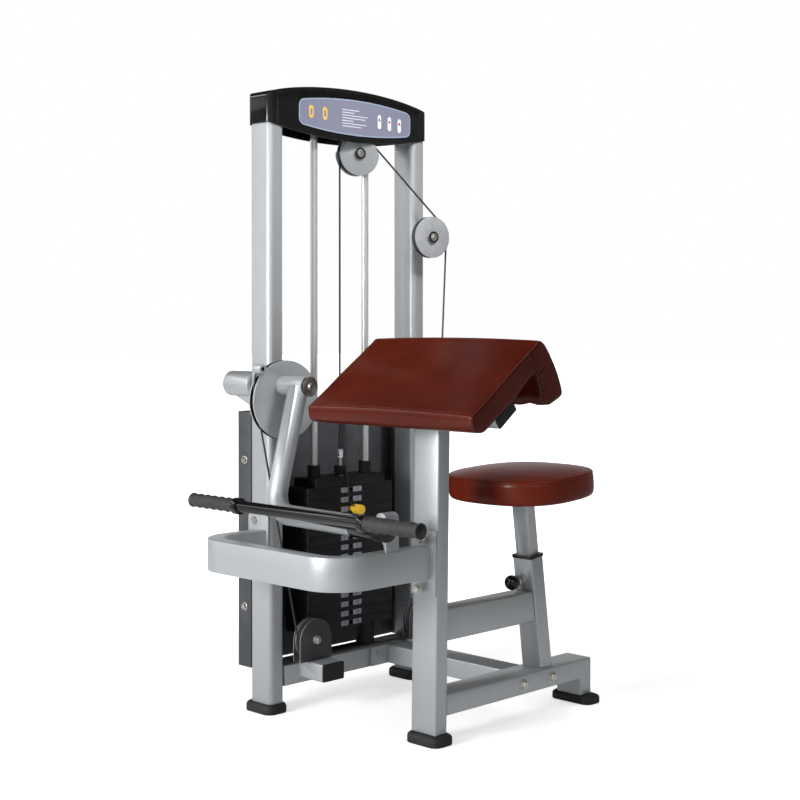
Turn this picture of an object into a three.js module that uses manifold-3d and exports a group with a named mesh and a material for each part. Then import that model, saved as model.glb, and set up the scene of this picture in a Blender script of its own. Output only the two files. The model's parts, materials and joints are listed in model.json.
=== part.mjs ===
// Biceps curl machine with a weight-stack tower, an arm pad on a post and a sliding seat.
// Millimetres, +Z up. X runs along the seat beam, away from the user's hands, and Y runs
// across, towards the outer side of the tower. The zero corner of the layout below is the
// front inner corner of the near upright. The finished group is centred over the origin.
import * as THREE from 'three';
import { mergeVertices } from 'three/addons/utils/BufferGeometryUtils.js';
import Module from 'manifold-3d';

const wasm = await Module();
wasm.setup();

// Clearances shared by the whole machine.
const touchGap = 0.3;
const runGap = 0.5;
const overrun = 5;
const weldMerge = 0.0001;

// Counts of facets on round and bent pieces.
const facets = { corner: 4, hex: 6, small: 12, medium: 18, large: 24, cable: 8, bend: 8 };

// Tower.
const upright = { width: 50, depth: 80, corner: 15, pitch: 517, top: 1560, foot: 25 };
const foot = { thick: 25, front: 8, back: 16, side: 10, corner: 18 };
const baseBeam = { bottom: 65, top: 118, corner: 4 };
const topBeam = { under: 52, over: 4, front: 15, back: 65, corner: 6 };
const cap = { wall: 4, endDrop: 60, endRise: 15, midDrop: 88, midRise: 49, corner: 12 };
const placard = { left: 94, right: 501, thick: 1.5, endInset: 8, topInset: 26, bottomInset: 17 };
const rod = { radius: 10, spread: 186.1, centreX: 278.6, y: 40 };
const shroud = { bottom: 107, top: 765, reach: 50, sheet: 2, side: 4, lip: 26 };
const stub = { left: 101, width: 73, reach: 85, bottom: 80, top: 125, corner: 4 };

// Weight stack.
const plate = { count: 15, lifted: 3, width: 309, depth: 90, front: -5, pitch: 25.2, bottom: 185 };
const plateCut = { rodHole: 12, stemHole: 14, pinHole: 5.6, corner: 5 };
const head = { width: 251, thick: 22, corner: 5 };
const collar = { radius: 17, height: 33 };
const stem = { radius: 11, hang: 380, neck: 7, neckHole: 8.4, nut: 14, nutTop: 611 };
const fitting = { radius: 8, bottom: 631, top: 655 };
const pin = { radius: 4.8, inside: 52, knob: 13, knobLong: 26, waist: 7, waistLong: 14 };
const bumper = { radius: 25, bore: 10.6, strip: 18, stripThick: 6 };

// Cable and pulleys. The two upper wheels are turned a little about the vertical.
const cable = { radius: 2.5 };
const wheel = { half: 10, lip: 2, bore: 8.5 };
const smallWheel = { pitchRadius: 47.5, rim: 51, groove: 44.7, cheek: 54 };
const bigWheel = { pitchRadius: 53, rim: 57, groove: 50.2, cheek: 59 };
const cheek = { thick: 3, pinRadius: 8, headRadius: 11, headThick: 6, gap: 1, neck: 17 };
const lowerAxis = { z: 178, leftX: 126, leftY: -20.5, rightX: 532 };
const sideAxis = { down: 332, y: -44 };
const upperAxis = { down: 114 };
const sideTurn = THREE.MathUtils.degToRad(12);
const upperTurn = THREE.MathUtils.degToRad(16);

// Swinging arm. Its pivot stands across the near upright.
const pivot = { x: 25, z: 835, shaft: 15, bore: 16 };
const housing = { radius: 33, back: 176, bore: 16, endCap: 4, endSink: 1 };
const gusset = { drop: 64, tipDrop: 26.4, top: 19.8, thick: 12 };
const cam = { halfWide: 107, halfHigh: 100, dx: 11.5, dz: -37, front: -22, back: -3, sheet: 4 };
const drum = { pitchRadius: 86, groove: 83.2, y: -12.5 };
const anchor = { dx: -75, dz: 43, radius: 12, bore: 6, front: -34, lug: 9 };
const hub = { radius: 25, front: -118, cap: 8, boltRadius: 9, boltLong: 5 };
const armTube = { radius: 25.4, y: -85, endX: -60, endZ: 527, topX: 21, topZ: 833, bend: 62 };
const crossTube = { sleeveY: -394, endY: -507, endX: -84, sleeve: 27 };
const handle = { x: -300, z: 579, stem: 12.5, bar: 13, centre: -449, half: 369 };
const grip = { radius: 17, inner: 197, ridge: 2.5, count: 6, steps: 3 };
const gripCollar = { radius: 19, long: 17 };

// Guard rail in front of the arm, with the stop that the arm rests against.
const guard = { bottom: 392, top: 469, thick: 39, nose: -210, farY: 27, radius: 95 };
const guardPlate = { thick: 5, bottom: 354, top: 506, halfWide: 39, corner: 8 };
const stop = { left: -52, size: 42, top: 559, corner: 4 };

// Seat side of the frame, all centred on the user's line.
const userY = -452;
const post = { width: 40, depth: 80, floorX: 87, lean: 0.0157 };
const postFoot = { front: 12, side: 13, back: 18 };
const seatBeam = { bottom: 67, top: 117, depth: 80, end: 682, legWidth: 44 };
const rearFoot = { left: 637, right: 700, halfWide: 65, thick: 22, corner: 12 };
const midBeam = { bottom: 240, top: 316, depth: 56 };
const lateral = { left: 412, width: 75, bottom: 67, top: 117, flange: 6, flangeOver: 60, corner: 4 };
const sleeve = { x: 509.5, width: 47, depth: 62, long: 286, wall: 4, collar: 7, over: 2, corner: 5 };
const seatStem = { width: 34, depth: 50, inset: 150, top: 442, corner: 5, lean: 0.135, down: 50 };
const popPin = { up: 236, radius: 6, reach: 32, boss: 11, bossLong: 14, stroke: 12 };
const popKnob = { radius: 19, long: 30 };
const seat = { halfLong: 165, halfFront: 183, halfBack: 168, thick: 61, crown: 13 };
const seatTilt = THREE.MathUtils.degToRad(4.4);
const seatPlate = { half: 75, thick: 5, corner: 8 };

// Arm pad and what carries it.
const pad = { near: -719, far: -185, front: -37, low: 752, reach: 312, rise: 201, edge: 14, crown: 4 };
const padSlope = THREE.MathUtils.degToRad(36.4);
const underBar = { x: 122, z: 785, wide: 72, thick: 25, near: -677, far: -227, corner: 4 };
const riser = { half: 30, wide: 50, nearY: -600, farY: -304, lift: 27.9 };

// Outline of the arm pad as shares of its reach and rise, from the front lip over the ridge.
const padOutlineShares = [
  [0, 0.164], [0.022, 0.209], [0.19, 0.4], [0.359, 0.594], [0.535, 0.784], [0.696, 0.957],
  [0.734, 1], [0.779, 0.975], [0.856, 0.841], [0.946, 0.622], [1, 0.398], [0.99, 0.363],
  [0.92, 0.308], [0.837, 0.264], [0.785, 0.289], [0.756, 0.463], [0.715, 0.627], [0.67, 0.617],
  [0.442, 0.338], [0.215, 0.1], [0.119, 0.01], [0.054, 0.012], [0.013, 0.08],
];
const padOutlineSteps = 46;

// Rounding of the pad's two ends: distance from the end and inset, as shares of the edge.
const padEndShares = [[0, 1], [0.12, 0.55], [0.4, 0.2], [1, 0]];

// Seat cushion rings: height as a share of the side, then the plan scale as a share.
const seatRingShares = [
  [0, 0.94], [0.06, 0.985], [0.2, 1], [0.42, 0.995], [0.5, 0.982], [0.58, 0.995], [0.8, 1],
  [0.95, 0.985], [1, 0.95],
];
const seatCrownShares = [[0.3, 0.86], [0.62, 0.66], [0.86, 0.42], [0.97, 0.2]];
const seatPlanPower = 2.5;
const seatSteps = 36;

// Colours and finishes.
function finish(color, roughness, metalness) {
  return { color, roughness, metalness };
}
const silverPaint = finish(0xa9adb0, 0.45, 0.35);
const blackGloss = finish(0x17181a, 0.25, 0.05);
const blackPaint = finish(0x1d1d1f, 0.5, 0.1);
const darkSheet = finish(0x3b3c3e, 0.6, 0.1);
const chromeSteel = finish(0xd6d8da, 0.15, 1);
const rubberBlack = finish(0x1a1a1b, 0.85, 0);
const gripRubber = finish(0x2e2e30, 0.8, 0);
const vinyl = finish(0x4f1a10, 0.4, 0);
const yellowPlastic = finish(0xf0c030, 0.4, 0);
const placardFace = finish(0x6b6c7c, 0.5, 0.1);
const pulleyPlastic = finish(0x55575a, 0.5, 0.1);
const cableCoat = finish(0x222324, 0.5, 0);
const fittingSteel = finish(0xc8cacc, 0.3, 0.9);

// Basis vectors used to lay an extruded section along an axis of the machine.
const axisX = new THREE.Vector3(1, 0, 0);
const axisY = new THREE.Vector3(0, 1, 0);
const axisZ = new THREE.Vector3(0, 0, 1);

// A rectangle with rounded corners, drawn between its two opposite corners.
function roundRect(x0, x1, y0, y1, radius) {
  const shape = new THREE.Shape();
  const right = Math.PI / 2;
  shape.absarc(x1 - radius, y0 + radius, radius, -right, 0, false);
  shape.absarc(x1 - radius, y1 - radius, radius, 0, right, false);
  shape.absarc(x0 + radius, y1 - radius, radius, right, 2 * right, false);
  shape.absarc(x0 + radius, y0 + radius, radius, 2 * right, 3 * right, false);
  shape.closePath();
  return shape;
}

function polygon(points) {
  return new THREE.Shape(points.map(([x, y]) => new THREE.Vector2(x, y)));
}

function circle(x, y, radius) {
  const shape = new THREE.Shape();
  shape.absarc(x, y, radius, 0, 2 * Math.PI, false);
  return shape;
}

// Extrude a section drawn in X and Y up the Z axis.
function alongZ(shape, from, to, segments = facets.corner) {
  const body = new THREE.ExtrudeGeometry(shape, {
    depth: to - from, bevelEnabled: false, curveSegments: segments,
  });
  return body.translate(0, 0, from);
}

// Extrude a section drawn in X and Z along the Y axis.
function alongY(shape, from, to, segments = facets.corner) {
  const body = alongZ(shape, 0, to - from, segments);
  body.applyMatrix4(new THREE.Matrix4().makeBasis(axisX, axisZ, axisY.clone().negate()));
  return body.translate(0, to, 0);
}

// Extrude a section drawn in Y and Z along the X axis.
function alongX(shape, from, to, segments = facets.corner) {
  const body = alongZ(shape, 0, to - from, segments);
  body.applyMatrix4(new THREE.Matrix4().makeBasis(axisY, axisZ, axisX));
  return body.translate(from, 0, 0);
}

// Turn a closed geometry into a solid that can be joined or cut.
function solidOf(geometry) {
  const bare = geometry.clone();
  bare.deleteAttribute('normal');
  bare.deleteAttribute('uv');
  const merged = mergeVertices(bare, weldMerge);
  return new wasm.Manifold(new wasm.Mesh({
    numProp: 3,
    vertProperties: new Float32Array(merged.attributes.position.array),
    triVerts: new Uint32Array(merged.index.array),
  }));
}

function geometryOf(solid) {
  const mesh = solid.getMesh();
  const geometry = new THREE.BufferGeometry();
  geometry.setAttribute('position', new THREE.BufferAttribute(mesh.vertProperties, 3));
  geometry.setIndex(new THREE.BufferAttribute(mesh.triVerts, 1));
  geometry.computeVertexNormals();
  return geometry;
}

function join(...geometries) {
  return geometryOf(wasm.Manifold.union(geometries.map(solidOf)));
}

function cut(body, ...tools) {
  return geometryOf(solidOf(body).subtract(wasm.Manifold.union(tools.map(solidOf))));
}

// A round bar between two points.
function roundBar(start, end, radius, segments = facets.medium) {
  const run = new THREE.Vector3().subVectors(end, start);
  const body = new THREE.CylinderGeometry(radius, radius, run.length(), segments);
  const turn = new THREE.Quaternion().setFromUnitVectors(axisY, run.clone().normalize());
  body.applyQuaternion(turn);
  const middle = new THREE.Vector3().addVectors(start, end).multiplyScalar(1 / 2);
  return body.translate(middle.x, middle.y, middle.z);
}

// Closed skin over a stack of rings that all have the same number of points.
function skinOf(rings) {
  const count = rings[0].length;
  const positions = rings.flat().flatMap((point) => [point.x, point.y, point.z]);
  const index = [];
  for (let ring = 0; ring + 1 < rings.length; ring += 1) {
    for (let step = 0; step < count; step += 1) {
      const a = ring * count + step;
      const b = ring * count + (step + 1) % count;
      index.push(a, b, b + count, a, b + count, a + count);
    }
  }
  const last = (rings.length - 1) * count;
  return { positions, index, count, last };
}

function piece(name, geometry, look) {
  const mesh = new THREE.Mesh(geometry, new THREE.MeshStandardMaterial(look));
  mesh.name = name;
  return mesh;
}

const machine = new THREE.Group();

function add(name, geometry, look, parent = machine) {
  const mesh = piece(name, geometry, look);
  parent.add(mesh);
  return mesh;
}

// Rubber foot round the end of a post, a flat block with rounded corners.
function footBlock(x0, x1, y0, y1, thick, corner) {
  return alongZ(roundRect(x0, x1, y0, y1, corner), 0, thick - touchGap);
}

// Uprights: the near one is bored for the arm's shaft.
function buildUprights() {
  const section = roundRect(0, upright.width, 0, upright.depth, upright.corner);
  const bar = alongZ(section, upright.foot, upright.top);
  const bore = alongY(circle(pivot.x, pivot.z, pivot.bore), -overrun, upright.depth + overrun,
    facets.medium);
  add('near_upright', cut(bar, bore), silverPaint);
  const far = bar.clone().translate(upright.pitch, 0, 0);
  add('far_upright', join(far, sideBracket(wheels[2])), silverPaint);
  const shoe = footBlock(-foot.side, upright.width + foot.side, -foot.front,
    upright.depth + foot.back, foot.thick, foot.corner);
  add('near_upright_foot', shoe, rubberBlack);
  add('far_upright_foot', shoe.clone(), rubberBlack).position.x = upright.pitch;
}

// Heights at the top of the tower, all taken from the top of the uprights.
const beamBottom = upright.top - topBeam.under;
const beamTop = upright.top - topBeam.over;
const endBottom = upright.top - cap.endDrop;
const endTop = upright.top + cap.endRise;
const midBottom = upright.top - cap.midDrop;
const midTop = upright.top + cap.midRise;
const upperZ = upright.top - upperAxis.down;
const sideZ = upright.top - sideAxis.down;

const innerLeft = upright.width + touchGap;
const innerRight = upright.pitch - touchGap;
const towerRight = upright.pitch + upright.width;

// Lower cross beam with the short stub that carries the first pulley.
function buildTowerBeams() {
  const beam = alongX(roundRect(0, upright.depth, baseBeam.bottom, baseBeam.top, baseBeam.corner),
    innerLeft, innerRight);
  const arm = alongY(
    roundRect(stub.left, stub.left + stub.width, stub.bottom, stub.top, stub.corner),
    -stub.reach, baseBeam.corner + overrun);
  add('tower_base_beam', join(beam, arm), silverPaint);
  const bridge = alongX(
    roundRect(topBeam.front, topBeam.back, beamBottom, beamTop, topBeam.corner),
    innerLeft, innerRight);
  const { centre, turn } = wheels[3];
  const hanger = cheekPair(bigWheel.cheek, beamBottom + overrun - upperZ, cheek.neck)
    .rotateZ(-turn).translate(centre.x, centre.y, centre.z);
  add('top_beam', join(bridge, hanger), silverPaint);
}

// Lens outline of the cap: an arch over the top and a shallower one below.
function capOutline(inset, sink) {
  const left = -touchGap - cap.wall + inset;
  const right = towerRight + touchGap + cap.wall - inset;
  const middle = (left + right) / 2;
  const round = cap.corner - inset;
  const shape = new THREE.Shape();
  shape.moveTo(left, endBottom - sink);
  shape.quadraticCurveTo(middle, 2 * (midBottom - sink) - endBottom + sink,
    right, endBottom - sink);
  shape.lineTo(right, endTop - inset - round);
  shape.quadraticCurveTo(right, endTop - inset, right - round, endTop - inset + touchGap);
  shape.quadraticCurveTo(middle, 2 * (midTop - inset) - endTop + inset,
    left + round, endTop - inset + touchGap);
  shape.quadraticCurveTo(left, endTop - inset, left, endTop - inset - round);
  shape.closePath();
  return shape;
}

// Hollow black cap over the tower, open below, with a plain placard on its face.
function buildCap() {
  const front = -touchGap - cap.wall;
  const back = upright.depth + touchGap + cap.wall;
  const outer = alongY(capOutline(0, 0), front, back, facets.bend);
  const inner = alongY(capOutline(cap.wall, endTop - endBottom), -touchGap,
    upright.depth + touchGap, facets.bend);
  add('top_cap', cut(outer, inner), blackGloss);
  const middle = (placard.left + placard.right) / 2;
  const high = endTop - placard.endInset;
  const low = endBottom + placard.endInset / 2;
  const card = new THREE.Shape();
  card.moveTo(placard.left, low);
  card.quadraticCurveTo(middle, 2 * (midBottom + placard.bottomInset) - low,
    placard.right, low);
  card.lineTo(placard.right, high);
  card.quadraticCurveTo(middle, 2 * (midTop - placard.topInset) - high,
    placard.left, high);
  card.closePath();
  add('placard', alongY(card, front - touchGap - placard.thick, front - touchGap, facets.bend),
    placardFace);
}

// Chrome rods that guide the stack, standing between the two cross beams.
function buildRods() {
  const bumpers = [];
  for (const [name, side] of [['near_guide_rod', -1], ['far_guide_rod', 1]]) {
    const x = rod.centreX + side * rod.spread / 2;
    add(name, roundBar(new THREE.Vector3(x, rod.y, baseBeam.top + touchGap),
      new THREE.Vector3(x, rod.y, beamBottom - touchGap), rod.radius), chromeSteel);
    const ring = circle(x, rod.y, bumper.radius);
    ring.holes.push(circle(x, rod.y, bumper.bore));
    bumpers.push(alongZ(ring, baseBeam.top + touchGap, plate.bottom - touchGap, facets.small));
  }
  const strip = alongZ(roundRect(rod.centreX - rod.spread / 2 + rod.radius + runGap,
    rod.centreX + rod.spread / 2 - rod.radius - runGap, rod.y - bumper.strip, rod.y + bumper.strip,
    touchGap), baseBeam.top + touchGap, baseBeam.top + touchGap + bumper.stripThick);
  add('stack_bumpers', join(...bumpers, strip), rubberBlack);
}

// Bent sheet behind the stack, with a flange folded forward to each upright.
function buildShroud() {
  const left = shroud.side;
  const right = towerRight - shroud.side;
  const front = upright.depth + touchGap;
  const back = upright.depth + shroud.reach;
  const outline = polygon([
    [left, front], [left + shroud.lip, front], [left + shroud.lip, front + shroud.sheet],
    [left + shroud.sheet, front + shroud.sheet], [left + shroud.sheet, back - shroud.sheet],
    [right - shroud.sheet, back - shroud.sheet], [right - shroud.sheet, front + shroud.sheet],
    [right - shroud.lip, front + shroud.sheet], [right - shroud.lip, front], [right, front],
    [right, back], [left, back],
  ]);
  add('rear_shroud', alongZ(outline, shroud.bottom, shroud.top), darkSheet);
}

const plateThick = plate.pitch - touchGap;
const plateLeft = rod.centreX - plate.width / 2;
const plateBack = plate.front + plate.depth;

// A weight plate bored for both rods and the stem, with the selector hole in its front.
function plateSolid() {
  const outline = roundRect(plateLeft, plateLeft + plate.width, plate.front, plateBack,
    plateCut.corner);
  for (const side of [-1, 1]) {
    outline.holes.push(circle(rod.centreX + side * rod.spread / 2, rod.y, plateCut.rodHole));
  }
  outline.holes.push(circle(rod.centreX, rod.y, plateCut.stemHole));
  const slot = alongY(circle(rod.centreX, plateThick / 2, plateCut.pinHole),
    plate.front - overrun, rod.y + stem.radius + overrun);
  return cut(alongZ(outline, 0, plateThick, facets.corner), slot);
}

function plateBottom(index) {
  return plate.bottom + (plate.count - index) * plate.pitch;
}

const stackTop = plate.bottom + plate.count * plate.pitch;

function buildPlates() {
  const slab = plateSolid();
  for (let index = 1; index <= plate.count; index += 1) {
    const name = `weight_plate_${String(index).padStart(2, '0')}`;
    add(name, slab.clone(), blackPaint).position.z = plateBottom(index);
  }
}

// Head plate with its rod bushings, and the stem that hangs from it through the stack.
function buildStackHead() {
  const outline = roundRect(rod.centreX - head.width / 2, rod.centreX + head.width / 2,
    plate.front, plateBack, head.corner);
  for (const side of [-1, 1]) {
    outline.holes.push(circle(rod.centreX + side * rod.spread / 2, rod.y, plateCut.rodHole));
  }
  outline.holes.push(circle(rod.centreX, rod.y, stem.neckHole));
  const block = alongZ(outline, stackTop, stackTop + head.thick, facets.corner);
  const bushings = [-1, 1].map((side) => {
    const x = rod.centreX + side * rod.spread / 2;
    const ring = circle(x, rod.y, collar.radius);
    ring.holes.push(circle(x, rod.y, plateCut.rodHole));
    return alongZ(ring, stackTop + head.thick - overrun, stackTop + head.thick + collar.height,
      facets.corner);
  });
  add('head_plate', join(block, ...bushings), blackPaint);
  const middle = new THREE.Vector3(rod.centreX, rod.y, 0);
  const at = (z) => middle.clone().setZ(z);
  const shank = roundBar(at(stackTop - stem.hang), at(stackTop - touchGap), stem.radius,
    facets.small);
  const neck = roundBar(at(stackTop - overrun), at(fitting.bottom + overrun), stem.neck,
    facets.small);
  const swivel = roundBar(at(fitting.bottom), at(fitting.top), fitting.radius, facets.small);
  const nut = roundBar(at(stackTop + head.thick + touchGap), at(stem.nutTop), stem.nut,
    facets.hex);
  const holes = [];
  for (let index = 1; index <= plate.count; index += 1) {
    holes.push(alongY(circle(rod.centreX, plateBottom(index) + plateThick / 2, plateCut.pinHole),
      rod.y - stem.radius - overrun, rod.y + stem.radius + overrun));
  }
  add('selector_stem', cut(join(shank, neck, nut, swivel), ...holes), fittingSteel);
}

const pinZ = plateBottom(plate.lifted) + plateThick / 2;

// Selector pin with its pull knob, pushed into the third plate.
function buildSelectorPin() {
  const front = plate.front;
  const at = (y) => new THREE.Vector3(rod.centreX, y, pinZ);
  const shank = roundBar(at(front - pin.waistLong), at(front + pin.inside), pin.radius,
    facets.small);
  const waist = roundBar(at(front - pin.waistLong), at(front - runGap), pin.waist, facets.small);
  const knob = roundBar(at(front - pin.waistLong - pin.knobLong), at(front - pin.waistLong),
    pin.knob, facets.medium);
  add('selector_pin', join(shank, waist, knob), yellowPlastic);
}

// Grooved wheel, turned about its own axis and bored for its pin.
function wheelGeometry({ rim, groove }) {
  const inner = wheel.half - wheel.lip;
  const profile = [
    [wheel.bore, -wheel.half], [rim, -wheel.half], [rim, -inner],
    [groove, -cable.radius], [groove, cable.radius], [rim, inner],
    [rim, wheel.half], [wheel.bore, wheel.half], [wheel.bore, -wheel.half],
  ].map(([x, y]) => new THREE.Vector2(x, y));
  return new THREE.LatheGeometry(profile, facets.large);
}

// The four wheels that the cable runs over, in the order it meets them from the arm.
const lowerRightY = -cheek.thick - cheek.gap - wheel.half - touchGap;
const upperOffset = new THREE.Vector3(Math.cos(upperTurn), -Math.sin(upperTurn), 0);
const upperCentre = new THREE.Vector3(rod.centreX, rod.y, upperZ)
  .addScaledVector(upperOffset, bigWheel.pitchRadius);
const wheels = [
  { name: 'lower_near_pulley', turn: 0, size: smallWheel,
    centre: new THREE.Vector3(lowerAxis.leftX, lowerAxis.leftY, lowerAxis.z) },
  { name: 'lower_far_pulley', turn: 0, size: smallWheel,
    centre: new THREE.Vector3(lowerAxis.rightX, lowerRightY, lowerAxis.z) },
  { name: 'side_pulley', turn: sideTurn, size: bigWheel,
    centre: new THREE.Vector3(upright.pitch + upright.width / 2, sideAxis.y, sideZ) },
  { name: 'upper_pulley', turn: upperTurn, size: bigWheel, centre: upperCentre },
];

// A cheek plate pair with the pin between them. The plates are round at one end and run
// straight to their foot at the other.
function cheekPair(radius, footZ, footHalf) {
  const up = Math.sign(footZ);
  const outline = new THREE.Shape();
  outline.moveTo(footHalf, footZ);
  outline.lineTo(radius, 0);
  outline.absarc(0, 0, radius, 0, up > 0 ? -Math.PI : Math.PI, up > 0);
  outline.lineTo(-footHalf, footZ);
  outline.closePath();
  const inner = wheel.half + cheek.gap;
  const outer = inner + cheek.thick;
  const plates = [[-outer, -inner], [inner, outer]].map(([from, to]) => (
    alongY(outline, from, to, facets.small)));
  const axle = alongY(circle(0, 0, cheek.pinRadius), -inner - cheek.thick / 2,
    inner + cheek.thick / 2, facets.corner);
  const bolt = alongY(circle(0, 0, cheek.headRadius), -outer - cheek.headThick,
    -inner - cheek.thick / 2, facets.corner);
  return join(...plates, axle, bolt);
}

function placeWheel(mesh, { centre, turn }) {
  mesh.position.copy(centre);
  mesh.rotation.z = -turn;
  return mesh;
}

function buildPulleys() {
  for (const item of wheels) {
    placeWheel(add(item.name, wheelGeometry(item.size), pulleyPlastic), item);
  }
  const [near, far] = wheels;
  const footZ = stub.top + touchGap - lowerAxis.z;
  for (const [name, item] of [['lower_near_bracket', near], ['lower_far_bracket', far]]) {
    placeWheel(add(name, cheekPair(item.size.cheek, footZ, item.size.cheek), darkSheet), item);
  }
}

// Block on the far upright with a turned pin that carries the side wheel.
function sideBracket({ centre, turn }) {
  const half = bigWheel.cheek / 2;
  const reach = sideAxis.y + wheel.half + cheek.gap + cheek.thick * 2;
  const block = alongZ(roundRect(centre.x - upright.width / 4, centre.x + upright.width / 4,
    reach, overrun, touchGap), centre.z - half, centre.z + half);
  const axis = new THREE.Vector3(Math.sin(turn), Math.cos(turn), 0);
  const at = (distance) => centre.clone().addScaledVector(axis, distance);
  const face = wheel.half + cheek.gap;
  const spindle = roundBar(at(-face - touchGap), at(face + cheek.headRadius), cheek.pinRadius,
    facets.small);
  const shoulder = roundBar(at(face), at(face + cheek.headRadius), cheek.headRadius,
    facets.small);
  const nut = roundBar(at(-face - cheek.headThick), at(-face), cheek.headRadius, facets.small);
  return join(block, spindle, shoulder, nut);
}

// Point on a wheel's cable line at an angle from its own horizontal.
function rimPoint({ centre, turn, size }, angle) {
  const along = new THREE.Vector3(Math.cos(turn), -Math.sin(turn), 0);
  return centre.clone()
    .addScaledVector(along, size.pitchRadius * Math.cos(angle))
    .addScaledVector(axisZ, size.pitchRadius * Math.sin(angle));
}

function arcPoints(item, from, to, count) {
  const points = [];
  for (let step = 0; step <= count; step += 1) {
    points.push(rimPoint(item, from + (to - from) * step / count));
  }
  return points;
}

// Round tube through points. Each ring stands square to the mean direction at its point, and
// its first spoke is carried on from ring to ring.
function sweep(points, radius, sides) {
  const last = points.length - 1;
  const across = axisY.clone();
  const rings = points.map((point, step) => {
    const before = points[Math.max(step - 1, 0)];
    const after = points[Math.min(step + 1, last)];
    const ahead = after.clone().sub(before).normalize();
    across.addScaledVector(ahead, -across.dot(ahead)).normalize();
    const other = ahead.clone().cross(across);
    const ring = [];
    for (let side = 0; side < sides; side += 1) {
      const angle = 2 * Math.PI * side / sides;
      ring.push(point.clone().addScaledVector(across, radius * Math.cos(angle))
        .addScaledVector(other, radius * Math.sin(angle)));
    }
    return ring;
  });
  const skin = skinOf(rings);
  const closed = new THREE.BufferGeometry();
  for (let side = 1; side + 1 < sides; side += 1) {
    skin.index.push(0, side + 1, side, skin.last, skin.last + side, skin.last + side + 1);
  }
  closed.setAttribute('position', new THREE.Float32BufferAttribute(skin.positions, 3));
  closed.setIndex(skin.index);
  closed.computeVertexNormals();
  return closed;
}

// Points on the arc that rounds the corner between two straight runs of a tube.
function bendPoints(from, corner, to, radius) {
  const back = from.clone().sub(corner).normalize();
  const on = to.clone().sub(corner).normalize();
  const half = back.angleTo(on) / 2;
  const setBack = radius / Math.tan(half);
  const inward = back.clone().add(on).normalize();
  const centre = corner.clone().addScaledVector(inward, radius / Math.sin(half));
  const first = corner.clone().addScaledVector(back, setBack).sub(centre);
  const normal = back.clone().cross(on).normalize();
  const points = [];
  for (let step = 0; step <= facets.bend; step += 1) {
    const turn = -(Math.PI - 2 * half) * step / facets.bend;
    points.push(first.clone().applyAxisAngle(normal, turn).add(centre));
  }
  return points;
}

// Angle at which the straight run leaves both the drum and the first wheel.
function leaveAngle() {
  const dx = lowerAxis.leftX - pivot.x;
  const dz = pivot.z - lowerAxis.z;
  const spread = Math.hypot(dx, dz);
  const tilt = Math.atan2(dx, dz);
  return Math.PI + tilt - Math.asin((smallWheel.pitchRadius - drum.pitchRadius) / spread);
}

function drumPoint(angle) {
  return new THREE.Vector3(pivot.x + drum.pitchRadius * Math.cos(angle), drum.y,
    pivot.z + drum.pitchRadius * Math.sin(angle));
}

// Angle of the straight run between the side and the upper wheel.
const diagonalAngle = Math.atan2(
  Math.hypot(wheels[2].centre.x - upperCentre.x, wheels[2].centre.y - upperCentre.y),
  upperZ - sideZ);

function buildCables() {
  const [near, far, side, upper] = wheels;
  const leave = leaveAngle();
  const up = Math.PI / 2;
  const route = [
    drumPoint(leave),
    ...arcPoints(near, leave, 3 * up, facets.bend),
    ...arcPoints(far, -up, 0, facets.bend),
    ...arcPoints(side, 0, diagonalAngle, facets.bend),
    ...arcPoints(upper, diagonalAngle, Math.PI, facets.bend + facets.bend),
  ];
  add('pulley_cable', sweep(route, cable.radius, facets.cable), cableCoat);
  const top = upperZ - touchGap;
  add('stack_cable', sweep([new THREE.Vector3(rod.centreX, rod.y, fitting.top + touchGap),
    new THREE.Vector3(rod.centreX, rod.y, top)], cable.radius, facets.cable), cableCoat);
  return leave;
}

// Housing behind the near upright that the shaft turns in, with a gusset under it.
function buildHousing() {
  const front = upright.depth + touchGap;
  const ring = circle(pivot.x, pivot.z, housing.radius);
  ring.holes.push(circle(pivot.x, pivot.z, housing.bore));
  const barrel = alongY(ring, front, housing.back, facets.small);
  const web = alongX(polygon([
    [front, pivot.z - gusset.drop], [housing.back - overrun, pivot.z - gusset.tipDrop],
    [housing.back - overrun, pivot.z - gusset.top], [front, pivot.z - gusset.top],
  ]), pivot.x - gusset.thick / 2, pivot.x + gusset.thick / 2);
  const end = alongY(circle(pivot.x, pivot.z, housing.radius), housing.back - housing.endSink,
    housing.back + housing.endCap, facets.small);
  add('pivot_housing', join(barrel, web, end), silverPaint);
}

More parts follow.
